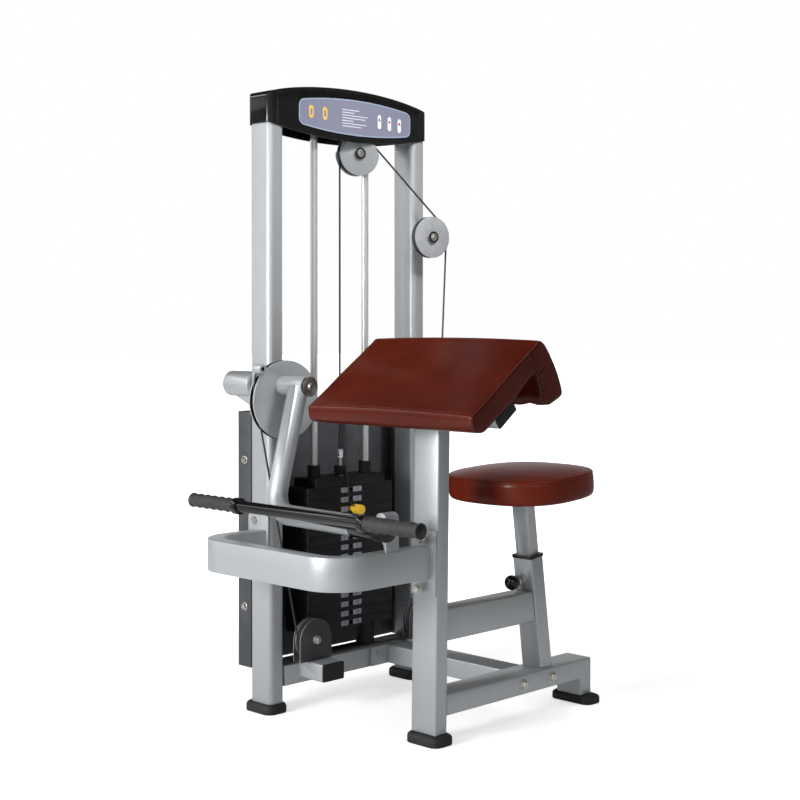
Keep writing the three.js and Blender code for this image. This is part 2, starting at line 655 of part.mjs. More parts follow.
// Everything that swings with the arm.
function buildArm(leave) {
  const at = (x, y, z) => new THREE.Vector3(x, y, z);
  const shaft = roundBar(at(pivot.x, cam.back - overrun, pivot.z),
    at(pivot.x, housing.back - overrun, pivot.z), pivot.shaft);
  const oval = new THREE.Shape();
  oval.absellipse(pivot.x + cam.dx, pivot.z + cam.dz, cam.halfWide, cam.halfHigh, 0,
    2 * Math.PI, false, 0);
  const nearSheet = alongY(oval, cam.front, cam.front + cam.sheet, facets.large);
  const farSheet = alongY(oval, cam.back - cam.sheet, cam.back, facets.large);
  const innerOval = new THREE.Shape();
  const shrink = anchor.radius;
  innerOval.absellipse(pivot.x + cam.dx, pivot.z + cam.dz, cam.halfWide - shrink,
    cam.halfHigh - shrink, 0, 2 * Math.PI, false, 0);
  const core = solidOf(alongY(innerOval, cam.front + 1, cam.back - 1, facets.large));
  const round = solidOf(alongY(circle(pivot.x, pivot.z, drum.groove), cam.front, cam.back,
    facets.large));
  const filler = geometryOf(core.intersect(round));
  const bossX = pivot.x + anchor.dx;
  const bossZ = pivot.z + anchor.dz;
  const bossRing = circle(bossX, bossZ, anchor.radius);
  bossRing.holes.push(circle(bossX, bossZ, anchor.bore));
  const boss = alongY(bossRing, anchor.front, cam.back, facets.corner);
  const inward = new THREE.Vector2(cam.dx - anchor.dx, cam.dz - anchor.dz).normalize();
  const aside = new THREE.Vector2(-inward.y, inward.x).multiplyScalar(anchor.lug);
  const root = new THREE.Vector2(bossX, bossZ).addScaledVector(inward, anchor.bore + touchGap);
  const tip = new THREE.Vector2(bossX, bossZ).addScaledVector(inward, cam.halfHigh / 2);
  const lug = alongY(new THREE.Shape([
    root.clone().sub(aside), tip.clone().sub(aside), tip.clone().add(aside),
    root.clone().add(aside),
  ]), cam.front, cam.back);
  add('cam', join(nearSheet, farSheet, filler, boss, lug, shaft), silverPaint);

  const barrel = roundBar(at(pivot.x, hub.front, pivot.z), at(pivot.x, cam.front - touchGap,
    pivot.z), hub.radius);
  const elbow = at(armTube.endX, armTube.y, armTube.endZ);
  const crossEnd = at(crossTube.endX, crossTube.endY, armTube.endZ);
  const sleeveShare = (crossTube.sleeveY - armTube.y) / (crossTube.endY - armTube.y);
  const cross = new THREE.Vector3().lerpVectors(elbow, crossEnd, sleeveShare);
  const top = at(armTube.topX, armTube.y, armTube.topZ);
  const bent = sweep([top, ...bendPoints(top, elbow, cross, armTube.bend), cross],
    armTube.radius, facets.medium);
  add('curl_arm', join(barrel, bent), silverPaint);

  const capBody = roundBar(at(pivot.x, hub.front - touchGap - hub.cap, pivot.z),
    at(pivot.x, hub.front - touchGap, pivot.z), hub.radius + touchGap);
  const bolt = roundBar(at(pivot.x, hub.front - touchGap - hub.cap - hub.boltLong, pivot.z),
    at(pivot.x, hub.front - touchGap - hub.cap, pivot.z), hub.boltRadius, facets.hex);
  add('pivot_cap', join(capBody, bolt), blackPaint);

  const wrapStart = Math.atan2(anchor.dz, anchor.dx) + anchor.radius / drum.pitchRadius
    + touchGap / drum.pitchRadius;
  const wrapEnd = leave - touchGap / drum.pitchRadius;
  const wrap = [];
  for (let step = 0; step <= facets.bend; step += 1) {
    wrap.push(drumPoint(wrapStart + (wrapEnd - wrapStart) * step / facets.bend));
  }
  add('cam_cable', sweep(wrap, cable.radius, facets.cable), cableCoat);
  buildHandle(cross, crossEnd);
}

// Black handle weldment on the end of the cross tube: sleeve, stem and cross bar.
function buildHandle(sleeveStart, sleeveEnd) {
  const at = (x, y, z) => new THREE.Vector3(x, y, z);
  const run = sleeveEnd.clone().sub(sleeveStart).normalize();
  const start = sleeveStart.clone().addScaledVector(run, touchGap);
  const sleeveTube = roundBar(start, sleeveEnd, crossTube.sleeve);
  const middle = at(crossTube.endX, handle.centre, armTube.endZ);
  const stemBar = roundBar(middle, at(handle.x, handle.centre, handle.z), handle.stem);
  const bar = roundBar(at(handle.x, handle.centre - handle.half, handle.z),
    at(handle.x, handle.centre + handle.half, handle.z), handle.bar);
  const rings = [-1, 1].map((side) => roundBar(
    at(handle.x, handle.centre + side * grip.inner, handle.z),
    at(handle.x, handle.centre + side * (grip.inner + gripCollar.long), handle.z),
    gripCollar.radius));
  add('handle_bar', join(sleeveTube, stemBar, bar, ...rings), blackGloss);
  for (const [name, side] of [['left_grip', 1], ['right_grip', -1]]) {
    add(name, gripGeometry(side), gripRubber);
  }
}

// Rubber grip with finger ridges, bored to slide over the bar.
function gripGeometry(side) {
  const from = grip.inner + gripCollar.long + touchGap;
  const long = handle.half - from;
  const bore = handle.bar + touchGap;
  const profile = [new THREE.Vector2(bore, from), new THREE.Vector2(grip.radius, from)];
  const count = grip.count * grip.steps;
  for (let step = 1; step < count; step += 1) {
    const wave = Math.cos(2 * Math.PI * step * grip.count / count);
    profile.push(new THREE.Vector2(grip.radius - grip.ridge * (1 - wave) / 2,
      from + long * step / count));
  }
  profile.push(new THREE.Vector2(grip.radius, handle.half), new THREE.Vector2(bore, handle.half),
    new THREE.Vector2(bore, from));
  const body = new THREE.LatheGeometry(profile, facets.medium);
  if (side < 0) {
    body.rotateZ(Math.PI);
  }
  return body.translate(handle.x, handle.centre, handle.z);
}

// Upright outline with a rounded top.
function archShape(middle, half, low, high) {
  const shape = new THREE.Shape();
  shape.moveTo(middle + half, low);
  shape.absarc(middle, high - half, half, 0, Math.PI, false);
  shape.lineTo(middle - half, low);
  shape.closePath();
  return shape;
}

// Guard rail bent in plan, closed on a plate at each end.
function buildGuard() {
  const half = guard.thick / 2;
  const nearPlate = postLine(guard.bottom) - touchGap;
  const farPlate = -touchGap;
  const outer = { nose: guard.nose, radius: guard.radius };
  const inner = { nose: guard.nose + guard.thick, radius: guard.radius - guard.thick };
  const quarter = Math.PI / 2;
  const outline = new THREE.Shape();
  outline.moveTo(nearPlate - overrun / 2, userY - half);
  outline.lineTo(nearPlate - overrun / 2, userY + half);
  outline.absarc(inner.nose + inner.radius, userY + half + inner.radius, inner.radius,
    -quarter, -2 * quarter, true);
  outline.absarc(inner.nose + inner.radius, guard.farY - half - inner.radius, inner.radius,
    2 * quarter, quarter, true);
  outline.lineTo(farPlate - guardPlate.thick / 2, guard.farY - half);
  outline.lineTo(farPlate - guardPlate.thick / 2, guard.farY + half);
  outline.absarc(outer.nose + outer.radius, guard.farY + half - outer.radius, outer.radius,
    quarter, 2 * quarter, false);
  outline.absarc(outer.nose + outer.radius, userY - half + outer.radius, outer.radius,
    2 * quarter, 3 * quarter, false);
  outline.closePath();
  const rail = alongZ(outline, guard.bottom, guard.top, facets.bend);
  const nearTop = postLine(guardPlate.top) - touchGap;
  const nearLow = postLine(guardPlate.bottom) - touchGap;
  const nearFlange = alongY(polygon([
    [nearLow - guardPlate.thick, guardPlate.bottom], [nearLow, guardPlate.bottom],
    [nearTop, guardPlate.top], [nearTop - guardPlate.thick, guardPlate.top],
  ]), userY - guardPlate.halfWide, userY + guardPlate.halfWide);
  const farFlange = alongX(roundRect(upright.depth / 2 - guardPlate.halfWide,
    upright.depth / 2 + guardPlate.halfWide, guardPlate.bottom, guardPlate.top,
    guardPlate.corner), farPlate - guardPlate.thick, farPlate);
  const block = alongX(archShape(userY, stop.size / 2 - stop.corner, guard.top - overrun,
    stop.top), stop.left, stop.left + stop.size, facets.small);
  add('guard_rail', join(rail, nearFlange, farFlange, block), silverPaint);
}

// Front face of the leaning post at a height.
function postLine(z) {
  return post.floorX + post.lean * z;
}

// Underside of the pad bar at a distance along X.
function barUnderside(x) {
  const drop = underBar.thick / 2 + touchGap;
  const px = underBar.x + drop * Math.sin(padSlope);
  const pz = underBar.z - drop * Math.cos(padSlope);
  return pz + (x - px) * Math.tan(padSlope);
}

function buildSeatFrame() {
  const half = post.depth / 2;
  const topFront = postLine(underBar.z);
  const column = alongY(polygon([
    [postLine(foot.thick), foot.thick], [postLine(foot.thick) + post.width, foot.thick],
    [topFront + post.width, barUnderside(topFront + post.width)],
    [topFront, barUnderside(topFront)],
  ]), userY - half, userY + half);
  add('pad_post', column, silverPaint);
  const postX = postLine(0);
  add('post_foot', footBlock(postX - postFoot.front, postX + post.width + postFoot.back,
    userY - half - postFoot.side, userY + half + postFoot.side, foot.thick, foot.corner),
  rubberBlack);

  const start = (z) => postLine(z) + post.width + touchGap;
  const seatHalf = seatBeam.depth / 2;
  const profile = polygon([
    [start(seatBeam.bottom), seatBeam.bottom],
    [seatBeam.end - seatBeam.legWidth, seatBeam.bottom],
    [seatBeam.end - seatBeam.legWidth, rearFoot.thick], [seatBeam.end, rearFoot.thick],
    [seatBeam.end, seatBeam.top], [start(seatBeam.top), seatBeam.top],
  ]);
  add('seat_beam', alongY(profile, userY - seatHalf, userY + seatHalf), silverPaint);
  add('rear_foot', footBlock(rearFoot.left, rearFoot.right, userY - rearFoot.halfWide,
    userY + rearFoot.halfWide, rearFoot.thick, rearFoot.corner), rubberBlack);

  const sleeveFace = (z) => sleeve.x - seatStem.lean * (z - seatBeam.top)
    - sleeve.width / 2 * Math.hypot(1, seatStem.lean) - touchGap;
  add('mid_beam', alongY(polygon([
    [start(midBeam.bottom), midBeam.bottom], [sleeveFace(midBeam.bottom), midBeam.bottom],
    [sleeveFace(midBeam.top), midBeam.top], [start(midBeam.top), midBeam.top],
  ]), userY - midBeam.depth / 2, userY + midBeam.depth / 2), silverPaint);

  const bridge = alongY(roundRect(lateral.left, lateral.left + lateral.width, lateral.bottom,
    lateral.top, lateral.corner), userY + seatHalf + touchGap, -touchGap);
  const flange = alongY(roundRect(lateral.left - lateral.flangeOver,
    lateral.left + lateral.width, lateral.bottom, lateral.top, lateral.corner),
  -touchGap - lateral.flange, -touchGap);
  add('lateral_tube', join(bridge, flange), silverPaint);
}

// Seat, its stem and the sleeve lean together. Their group stands on the seat beam.
const seatGroup = new THREE.Group();
seatGroup.position.set(sleeve.x, userY, seatBeam.top);
seatGroup.rotation.y = -Math.atan(seatStem.lean);
machine.add(seatGroup);

function buildSeatSleeve() {
  const halfX = sleeve.width / 2;
  const halfY = sleeve.depth / 2;
  const section = roundRect(-halfX, halfX, -halfY, halfY, sleeve.corner);
  section.holes.push(roundRect(-seatStem.width / 2 - runGap, seatStem.width / 2 + runGap,
    -seatStem.depth / 2 - runGap, seatStem.depth / 2 + runGap, seatStem.corner));
  const below = sleeve.width * seatStem.lean;
  const tube = solidOf(alongZ(section, -below, sleeve.long));
  const lean = Math.atan(seatStem.lean);
  const seated = tube.trimByPlane([Math.sin(lean), 0, Math.cos(lean)], touchGap);
  const along = alongX(circle(0, popPin.up, popPin.radius + runGap), -halfX - overrun, 0);
  const ring = circle(0, popPin.up, popPin.boss);
  ring.holes.push(circle(0, popPin.up, popPin.radius + runGap));
  const boss = alongX(ring, -halfX - popPin.bossLong, -halfX + sleeve.wall / 2, facets.small);
  const bored = seated.subtract(solidOf(along)).add(solidOf(boss));
  add('seat_sleeve', geometryOf(bored), silverPaint, seatGroup);
  const outer = roundRect(-halfX - sleeve.over, halfX + sleeve.over, -halfY - sleeve.over,
    halfY + sleeve.over, sleeve.corner);
  outer.holes.push(roundRect(-seatStem.width / 2 - runGap, seatStem.width / 2 + runGap,
    -seatStem.depth / 2 - runGap, seatStem.depth / 2 + runGap, seatStem.corner));
  add('sleeve_collar', alongZ(outer, sleeve.long + touchGap,
    sleeve.long + touchGap + sleeve.collar), blackPaint, seatGroup);
}

// Inner tube of the seat, bored for the locking pin, with the plate under the cushion.
function buildSeatStem() {
  const halfX = seatStem.width / 2;
  const halfY = seatStem.depth / 2;
  const tube = alongZ(roundRect(-halfX, halfX, -halfY, halfY, seatStem.corner), seatStem.inset,
    seatStem.top);
  const plateBody = alongZ(roundRect(-seatPlate.half, seatPlate.half, -seatPlate.half,
    seatPlate.half, seatPlate.corner), -seatPlate.thick / 2, seatPlate.thick / 2)
    .rotateY(seatTilt).translate(0, 0, seatStem.top);
  const slotHalf = popPin.radius + runGap;
  const slot = alongX(roundRect(-slotHalf, slotHalf, seatStem.inset - overrun,
    popPin.up + seatStem.down + slotHalf, slotHalf / 2), -halfX - overrun,
  -halfX + popPin.stroke + runGap);
  add('seat_stem', cut(join(tube, plateBody), slot), silverPaint, seatGroup);
}

function buildPopPin() {
  const at = (x) => new THREE.Vector3(x, 0, popPin.up);
  const face = -sleeve.width / 2;
  const tip = -seatStem.width / 2 + popPin.stroke - runGap;
  const shank = roundBar(at(face - popPin.reach), at(tip), popPin.radius, facets.small);
  const ball = roundBar(at(face - popPin.reach - popKnob.long), at(face - popPin.reach),
    popKnob.radius, facets.medium);
  add('pop_pin', join(shank, ball), blackGloss, seatGroup);
}

// Plan outline of the seat, wider at the front than at the back.
function seatRing(scale, z) {
  const ring = [];
  for (let step = 0; step < seatSteps; step += 1) {
    const angle = 2 * Math.PI * step / seatSteps;
    const c = Math.cos(angle);
    const s = Math.sin(angle);
    const size = (Math.abs(c) ** seatPlanPower + Math.abs(s) ** seatPlanPower) ** (-1 / seatPlanPower);
    const x = seat.halfLong * size * c;
    const share = (x / seat.halfLong + 1) / 2;
    const halfWide = seat.halfFront + (seat.halfBack - seat.halfFront) * share;
    ring.push(new THREE.Vector3(scale * x, scale * halfWide * size * s, z));
  }
  return ring;
}

// Closed cushion: rings up the side, rings over the crown and a point on top.
function seatGeometry() {
  const rings = seatRingShares.map(([height, scale]) => seatRing(scale, height * seat.thick));
  for (const [height, scale] of seatCrownShares) {
    rings.push(seatRing(scale, seat.thick + height * seat.crown));
  }
  const skin = skinOf(rings);
  const base = skin.positions.length / 3;
  skin.positions.push(0, 0, 0, 0, 0, seat.thick + seat.crown);
  for (let step = 0; step < seatSteps; step += 1) {
    const next = (step + 1) % seatSteps;
    skin.index.push(base, next, step, base + 1, skin.last + step, skin.last + next);
  }
  const geometry = new THREE.BufferGeometry();
  geometry.setAttribute('position', new THREE.Float32BufferAttribute(skin.positions, 3));
  geometry.setIndex(skin.index);
  geometry.computeVertexNormals();
  return geometry;
}

function buildSeat() {
  const cushion = add('seat_cushion', seatGeometry(), vinyl, seatGroup);
  const lift = seatPlate.thick / 2 + touchGap;
  cushion.rotation.y = seatTilt;
  cushion.position.set(lift * Math.sin(seatTilt), 0, seatStem.top + lift * Math.cos(seatTilt));
}

// Pad outline in X and Z with its outward normals.
function padOutline() {
  const points = padOutlineShares.map(([x, z]) => (
    new THREE.Vector3(pad.front + x * pad.reach, 0, pad.low + z * pad.rise)));
  const curve = new THREE.CatmullRomCurve3(points, true, 'centripetal');
  const ring = [];
  for (let step = 0; step < padOutlineSteps; step += 1) {
    const place = curve.getPointAt(step / padOutlineSteps);
    const tangent = curve.getTangentAt(step / padOutlineSteps);
    ring.push({ place, out: new THREE.Vector3(-tangent.z, 0, tangent.x) });
  }
  return ring;
}

// Upholstered pad: rounded ends with a seam line, and a low crown along its top.
function padGeometry() {
  const outline = padOutline();
  const long = pad.far - pad.near;
  const stations = [];
  for (const [away, inset] of padEndShares) {
    stations.push([away * pad.edge, inset * pad.edge]);
  }
  const middles = 5;
  for (let step = 1; step < middles; step += 1) {
    stations.push([pad.edge + (long - 2 * pad.edge) * step / middles, 0]);
  }
  for (const [away, inset] of [...padEndShares].reverse()) {
    stations.push([long - away * pad.edge, inset * pad.edge]);
  }
  const rings = stations.map(([distance, inset]) => {
    const share = 2 * distance / long - 1;
    const swell = pad.crown * (1 - share * share);
    return outline.map(({ place, out }) => {
      const lift = swell * Math.max(out.z, 0) - inset;
      return place.clone().addScaledVector(out, lift).setY(pad.near + distance);
    });
  });
  const skin = skinOf(rings);
  const flat = outline.map(({ place }) => new THREE.Vector2(place.x, place.z));
  for (const [a, b, c] of THREE.ShapeUtils.triangulateShape(flat, [])) {
    skin.index.push(a, b, c, skin.last + a, skin.last + c, skin.last + b);
  }
  const geometry = new THREE.BufferGeometry();
  geometry.setAttribute('position', new THREE.Float32BufferAttribute(skin.positions, 3));
  geometry.setIndex(skin.index);
  geometry.computeVertexNormals();
  return geometry;
}

// Bar, risers and pad share one tilted group, so that they stay square to each other.
const padGroup = new THREE.Group();
padGroup.position.set(underBar.x, 0, underBar.z);
padGroup.rotation.y = -padSlope;
machine.add(padGroup);

function buildPad() {
  const wide = underBar.wide / 2;
  const half = underBar.thick / 2;
  const section = roundRect(-wide, wide, -half, half, underBar.corner);
  const risers = [riser.nearY, riser.farY].map((y) => (
    alongY(roundRect(-riser.wide / 2, riser.wide / 2, half - overrun / 2,
      half + riser.lift, underBar.corner / 2), y - riser.half, y + riser.half)));
  const bar = alongY(section, underBar.near, underBar.far);
  add('pad_support_bar', join(bar, ...risers), silverPaint, padGroup);
  add('arm_pad', padGeometry(), vinyl);
}

buildUprights();
buildTowerBeams();
buildCap();
buildRods();
buildShroud();
buildPlates();
buildStackHead();
buildSelectorPin();
buildPulleys();
buildHousing();
buildArm(buildCables());
buildGuard();
buildSeatFrame();
buildSeatSleeve();
buildSeatStem();
buildPopPin();
buildSeat();
buildPad();

// Centre the machine over the origin, standing on the floor.
const wholeMachine = new THREE.Group();
wholeMachine.add(machine);
wholeMachine.updateMatrixWorld(true);
const extent = new THREE.Box3().setFromObject(machine, true);
const middleOf = extent.getCenter(new THREE.Vector3());
machine.position.set(-middleOf.x, -middleOf.y, -extent.min.z);

export default wholeMachine;
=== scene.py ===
import json
import math
import bmesh
import bpy
from mathutils import Matrix, Vector
from mathutils.geometry import tessellate_polygon


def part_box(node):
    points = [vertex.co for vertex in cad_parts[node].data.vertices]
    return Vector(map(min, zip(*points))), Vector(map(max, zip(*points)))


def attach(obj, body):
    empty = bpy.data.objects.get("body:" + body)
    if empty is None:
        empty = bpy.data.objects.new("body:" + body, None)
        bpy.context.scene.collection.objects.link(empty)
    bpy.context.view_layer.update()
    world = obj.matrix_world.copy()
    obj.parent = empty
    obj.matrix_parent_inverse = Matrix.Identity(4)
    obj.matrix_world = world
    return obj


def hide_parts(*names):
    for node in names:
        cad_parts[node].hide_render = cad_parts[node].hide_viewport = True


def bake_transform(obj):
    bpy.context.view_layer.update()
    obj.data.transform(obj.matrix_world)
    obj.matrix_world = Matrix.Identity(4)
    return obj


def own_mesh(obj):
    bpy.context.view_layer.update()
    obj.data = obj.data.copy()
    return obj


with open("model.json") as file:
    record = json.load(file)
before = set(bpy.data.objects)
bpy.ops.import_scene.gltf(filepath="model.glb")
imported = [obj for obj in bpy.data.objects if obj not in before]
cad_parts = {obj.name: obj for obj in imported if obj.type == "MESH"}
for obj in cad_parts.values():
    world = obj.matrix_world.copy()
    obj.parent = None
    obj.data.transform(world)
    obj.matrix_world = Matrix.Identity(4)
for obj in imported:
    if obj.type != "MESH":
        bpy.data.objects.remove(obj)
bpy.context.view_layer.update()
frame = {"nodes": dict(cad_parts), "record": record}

# Sizes are in millimetres and turn to metres in the meshes. Places are counted from the near
# upright's front left corner on the floor: x to the right, y to the back, z up.
mm = 0.001
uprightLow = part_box("near_upright")[0]
layout = Vector((uprightLow.x, uprightLow.y, 0))
toLeft, toFront, toBack, upward = (-1, 0, 0), (0, -1, 0), (0, 1, 0), (0, 0, 1)


def at(x, y, z):
    return layout + Vector((x, y, z)) * mm


def newObject(name, data):
    thing = bpy.data.objects.new(name, data)
    bpy.context.scene.collection.objects.link(thing)
    return thing


# Camera fitted to the photograph, which is taken as 800 x 800: picture sizes in pixels,
# angles in degrees.
photo = {"focal": 1478, "size": 800, "centreY": 335.48, "sensor": 36,
         "place": (-2417.6, -2854.7, 1000), "heading": -45.3, "tilt": 0.6}


def makeCamera():
    data = bpy.data.cameras.new("camera")
    data.sensor_width = photo["sensor"]
    data.lens = photo["focal"] / photo["size"] * photo["sensor"]
    data.shift_y = (photo["centreY"] - photo["size"] / 2) / photo["size"]
    camera = newObject("camera", data)
    camera.location = at(*photo["place"])
    camera.rotation_euler = (math.pi / 2 - math.radians(photo["tilt"]), 0,
                             math.radians(photo["heading"]))
    bpy.context.scene.camera = camera


makeCamera()


# Lanyard of the selector pin: a thin cord from an eye on the head plate to the yellow knob.
lanyard = {"radius": 1.6, "sides": 10, "eyePlace": (268, 22, 585), "eyeSides": 20,
           "eye": [(0, 5), (0.4, 5.4), (2.2, 5.4), (2.8, 4.4), (2.8, 1.7)], "route": [
    (268, 22, 586.5), (267.8, 21.5, 591), (267.2, 19, 596), (266.2, 13, 600), (264.8, 5, 600),
    (263, -3, 596.5), (261.4, -9, 590), (260.8, -11, 581), (261, -11.5, 570), (261.4, -11.8, 558),
    (261.8, -12, 546), (262.3, -12.6, 534), (263.2, -15, 524), (264.8, -19, 515.5),
    (267, -24.5, 510.5), (269.6, -29, 508.6), (271.4, -31, 508.2)]}


# Materials

def linear(code):
    values = [int(code[i:i + 2], 16) / 255 for i in (1, 3, 5)]
    return [v / 12.92 if v <= 0.04045 else ((v + 0.055) / 1.055) ** 2.4 for v in values] + [1]


# Adds a node with its settings, and fills or links its inputs by name or number.
def addNode(tree, kind, settings={}, inputs={}):
    node = tree.nodes.new("ShaderNode" + kind)
    for name, value in settings.items():
        setattr(node, name, value)
    for name, value in inputs.items():
        if isinstance(value, bpy.types.NodeSocket):
            tree.links.new(value, node.inputs[name])
        else:
            node.inputs[name].default_value = value
    return node


# A new material, with the shader values that are the same all over its surface.
def startMaterial(name, sockets):
    material = bpy.data.materials.new(name)
    material.use_nodes = True
    tree = material.node_tree
    shader = tree.nodes["Principled BSDF"]
    for key, value in sockets.items():
        shader.inputs[key.replace("_", " ")].default_value = value
    return material, tree, shader, tree.nodes.new("ShaderNodeTexCoord").outputs["Object"]


noiseRough = 0.55


# A finish: one colour or patches of two, roughness that follows the patches, and a fine relief.
# patch and fleck give a grain size and its detail, relief adds its depth and strength.
def makeFinish(name, colours, patch, roughness, relief=None, fleck=None,
               spread=(0.35, 0.65), stretch=None, **sockets):
    material, tree, shader, place = startMaterial(name, sockets)
    if stretch:
        place = addNode(tree, "Mapping", inputs={"Vector": place, "Scale": stretch}).outputs[0]
    fields = {}
    for use, grain in (("patch", patch), ("fleck", fleck), ("relief", relief)):
        if grain:
            fields[use] = addNode(tree, "TexNoise", inputs={
                "Vector": place, "Scale": 1 / (grain[0] * mm), "Detail": grain[1],
                "Roughness": noiseRough}).outputs["Fac"]
    if len(colours) == 1:
        shader.inputs["Base Color"].default_value = linear(colours[0])
    else:
        ramp = addNode(tree, "ValToRGB", inputs={"Fac": fields.get("fleck", fields["patch"])})
        for stop, edge, code in zip(ramp.color_ramp.elements, spread, colours):
            stop.position, stop.color = edge, linear(code)
        tree.links.new(ramp.outputs["Color"], shader.inputs["Base Color"])
    dull = addNode(tree, "MapRange", inputs={"Value": fields["patch"], "To Min": roughness[0],
                                             "To Max": roughness[1]})
    tree.links.new(dull.outputs["Result"], shader.inputs["Roughness"])
    if relief:
        bump = addNode(tree, "Bump", inputs={"Height": fields["relief"],
                                             "Distance": relief[2] * mm, "Strength": relief[3]})
        tree.links.new(bump.outputs["Normal"], shader.inputs["Normal"])
    return material


# PVC coated vinyl, embossed with a pebbled leather grain: half gloss, so that folds shine.
pebble = {"size": 1.6, "weight": 0.6, "crease": 7, "detail": 4, "depth": 0.1, "strength": 0.35}


def vinyl(name, colours, coat=0.25):
    material = makeFinish(name, colours, patch=(90, 5), roughness=(0.28, 0.35),
                          spread=(0.3, 0.7), IOR=1.38, Specular_IOR_Level=0.2,
                          Coat_Weight=coat, Coat_Roughness=0.16)
    tree = material.node_tree
    place = tree.nodes["Texture Coordinate"].outputs["Object"]
    cells = addNode(tree, "TexVoronoi", {"feature": "SMOOTH_F1"}, {
        "Vector": place, "Scale": 1 / (pebble["size"] * mm), "Randomness": 1.0})
    crease = addNode(tree, "TexNoise", inputs={
        "Vector": place, "Scale": 1 / (pebble["crease"] * mm), "Detail": pebble["detail"],
        "Roughness": noiseRough})
    grain = addNode(tree, "Math", {"operation": "MULTIPLY_ADD"}, {
        0: cells.outputs["Distance"], 1: pebble["weight"], 2: crease.outputs["Fac"]})
    bump = addNode(tree, "Bump", inputs={
        "Height": grain.outputs["Value"], "Distance": pebble["depth"] * mm,
        "Strength": pebble["strength"]})
    tree.links.new(bump.outputs["Normal"], tree.nodes["Principled BSDF"].inputs["Normal"])
    return material


# Steel wire rope in a nylon coat: the lay of the strands shows through as a twill, drawn at
# 7 mm, coarser than the real strands, so that it shows.
rope = {"lay": 7, "bend": 0.4, "colours": ("#151617", "#35373A"), "spread": (0.2, 0.8),
        "roughness": 0.42, "depth": 0.25, "strength": 0.6}


def wireRope():
    material, tree, shader, place = startMaterial("coated_wire_rope",
                                                  {"Roughness": rope["roughness"]})
    wave = addNode(tree, "TexWave", {"bands_direction": "DIAGONAL"}, {
        "Vector": place, "Scale": 1 / (rope["lay"] * mm),
        "Distortion": rope["bend"]}).outputs["Fac"]
    ramp = addNode(tree, "ValToRGB", inputs={"Fac": wave})
    for stop, edge, code in zip(ramp.color_ramp.elements, rope["spread"], rope["colours"]):
        stop.position, stop.color = edge, linear(code)
    tree.links.new(ramp.outputs["Color"], shader.inputs["Base Color"])
    bump = addNode(tree, "Bump", inputs={"Height": wave, "Distance": rope["depth"] * mm,
                                         "Strength": rope["strength"]})
    tree.links.new(bump.outputs["Normal"], shader.inputs["Normal"])
    return material


# Screen-printed polyester film, slightly satin.
film = {"patch": (25, 3), "less": 0.05, "more": 0.06}


def printed(name, code, rough):
    return makeFinish(name, [code], film["patch"], (rough - film["less"], rough + film["more"]))


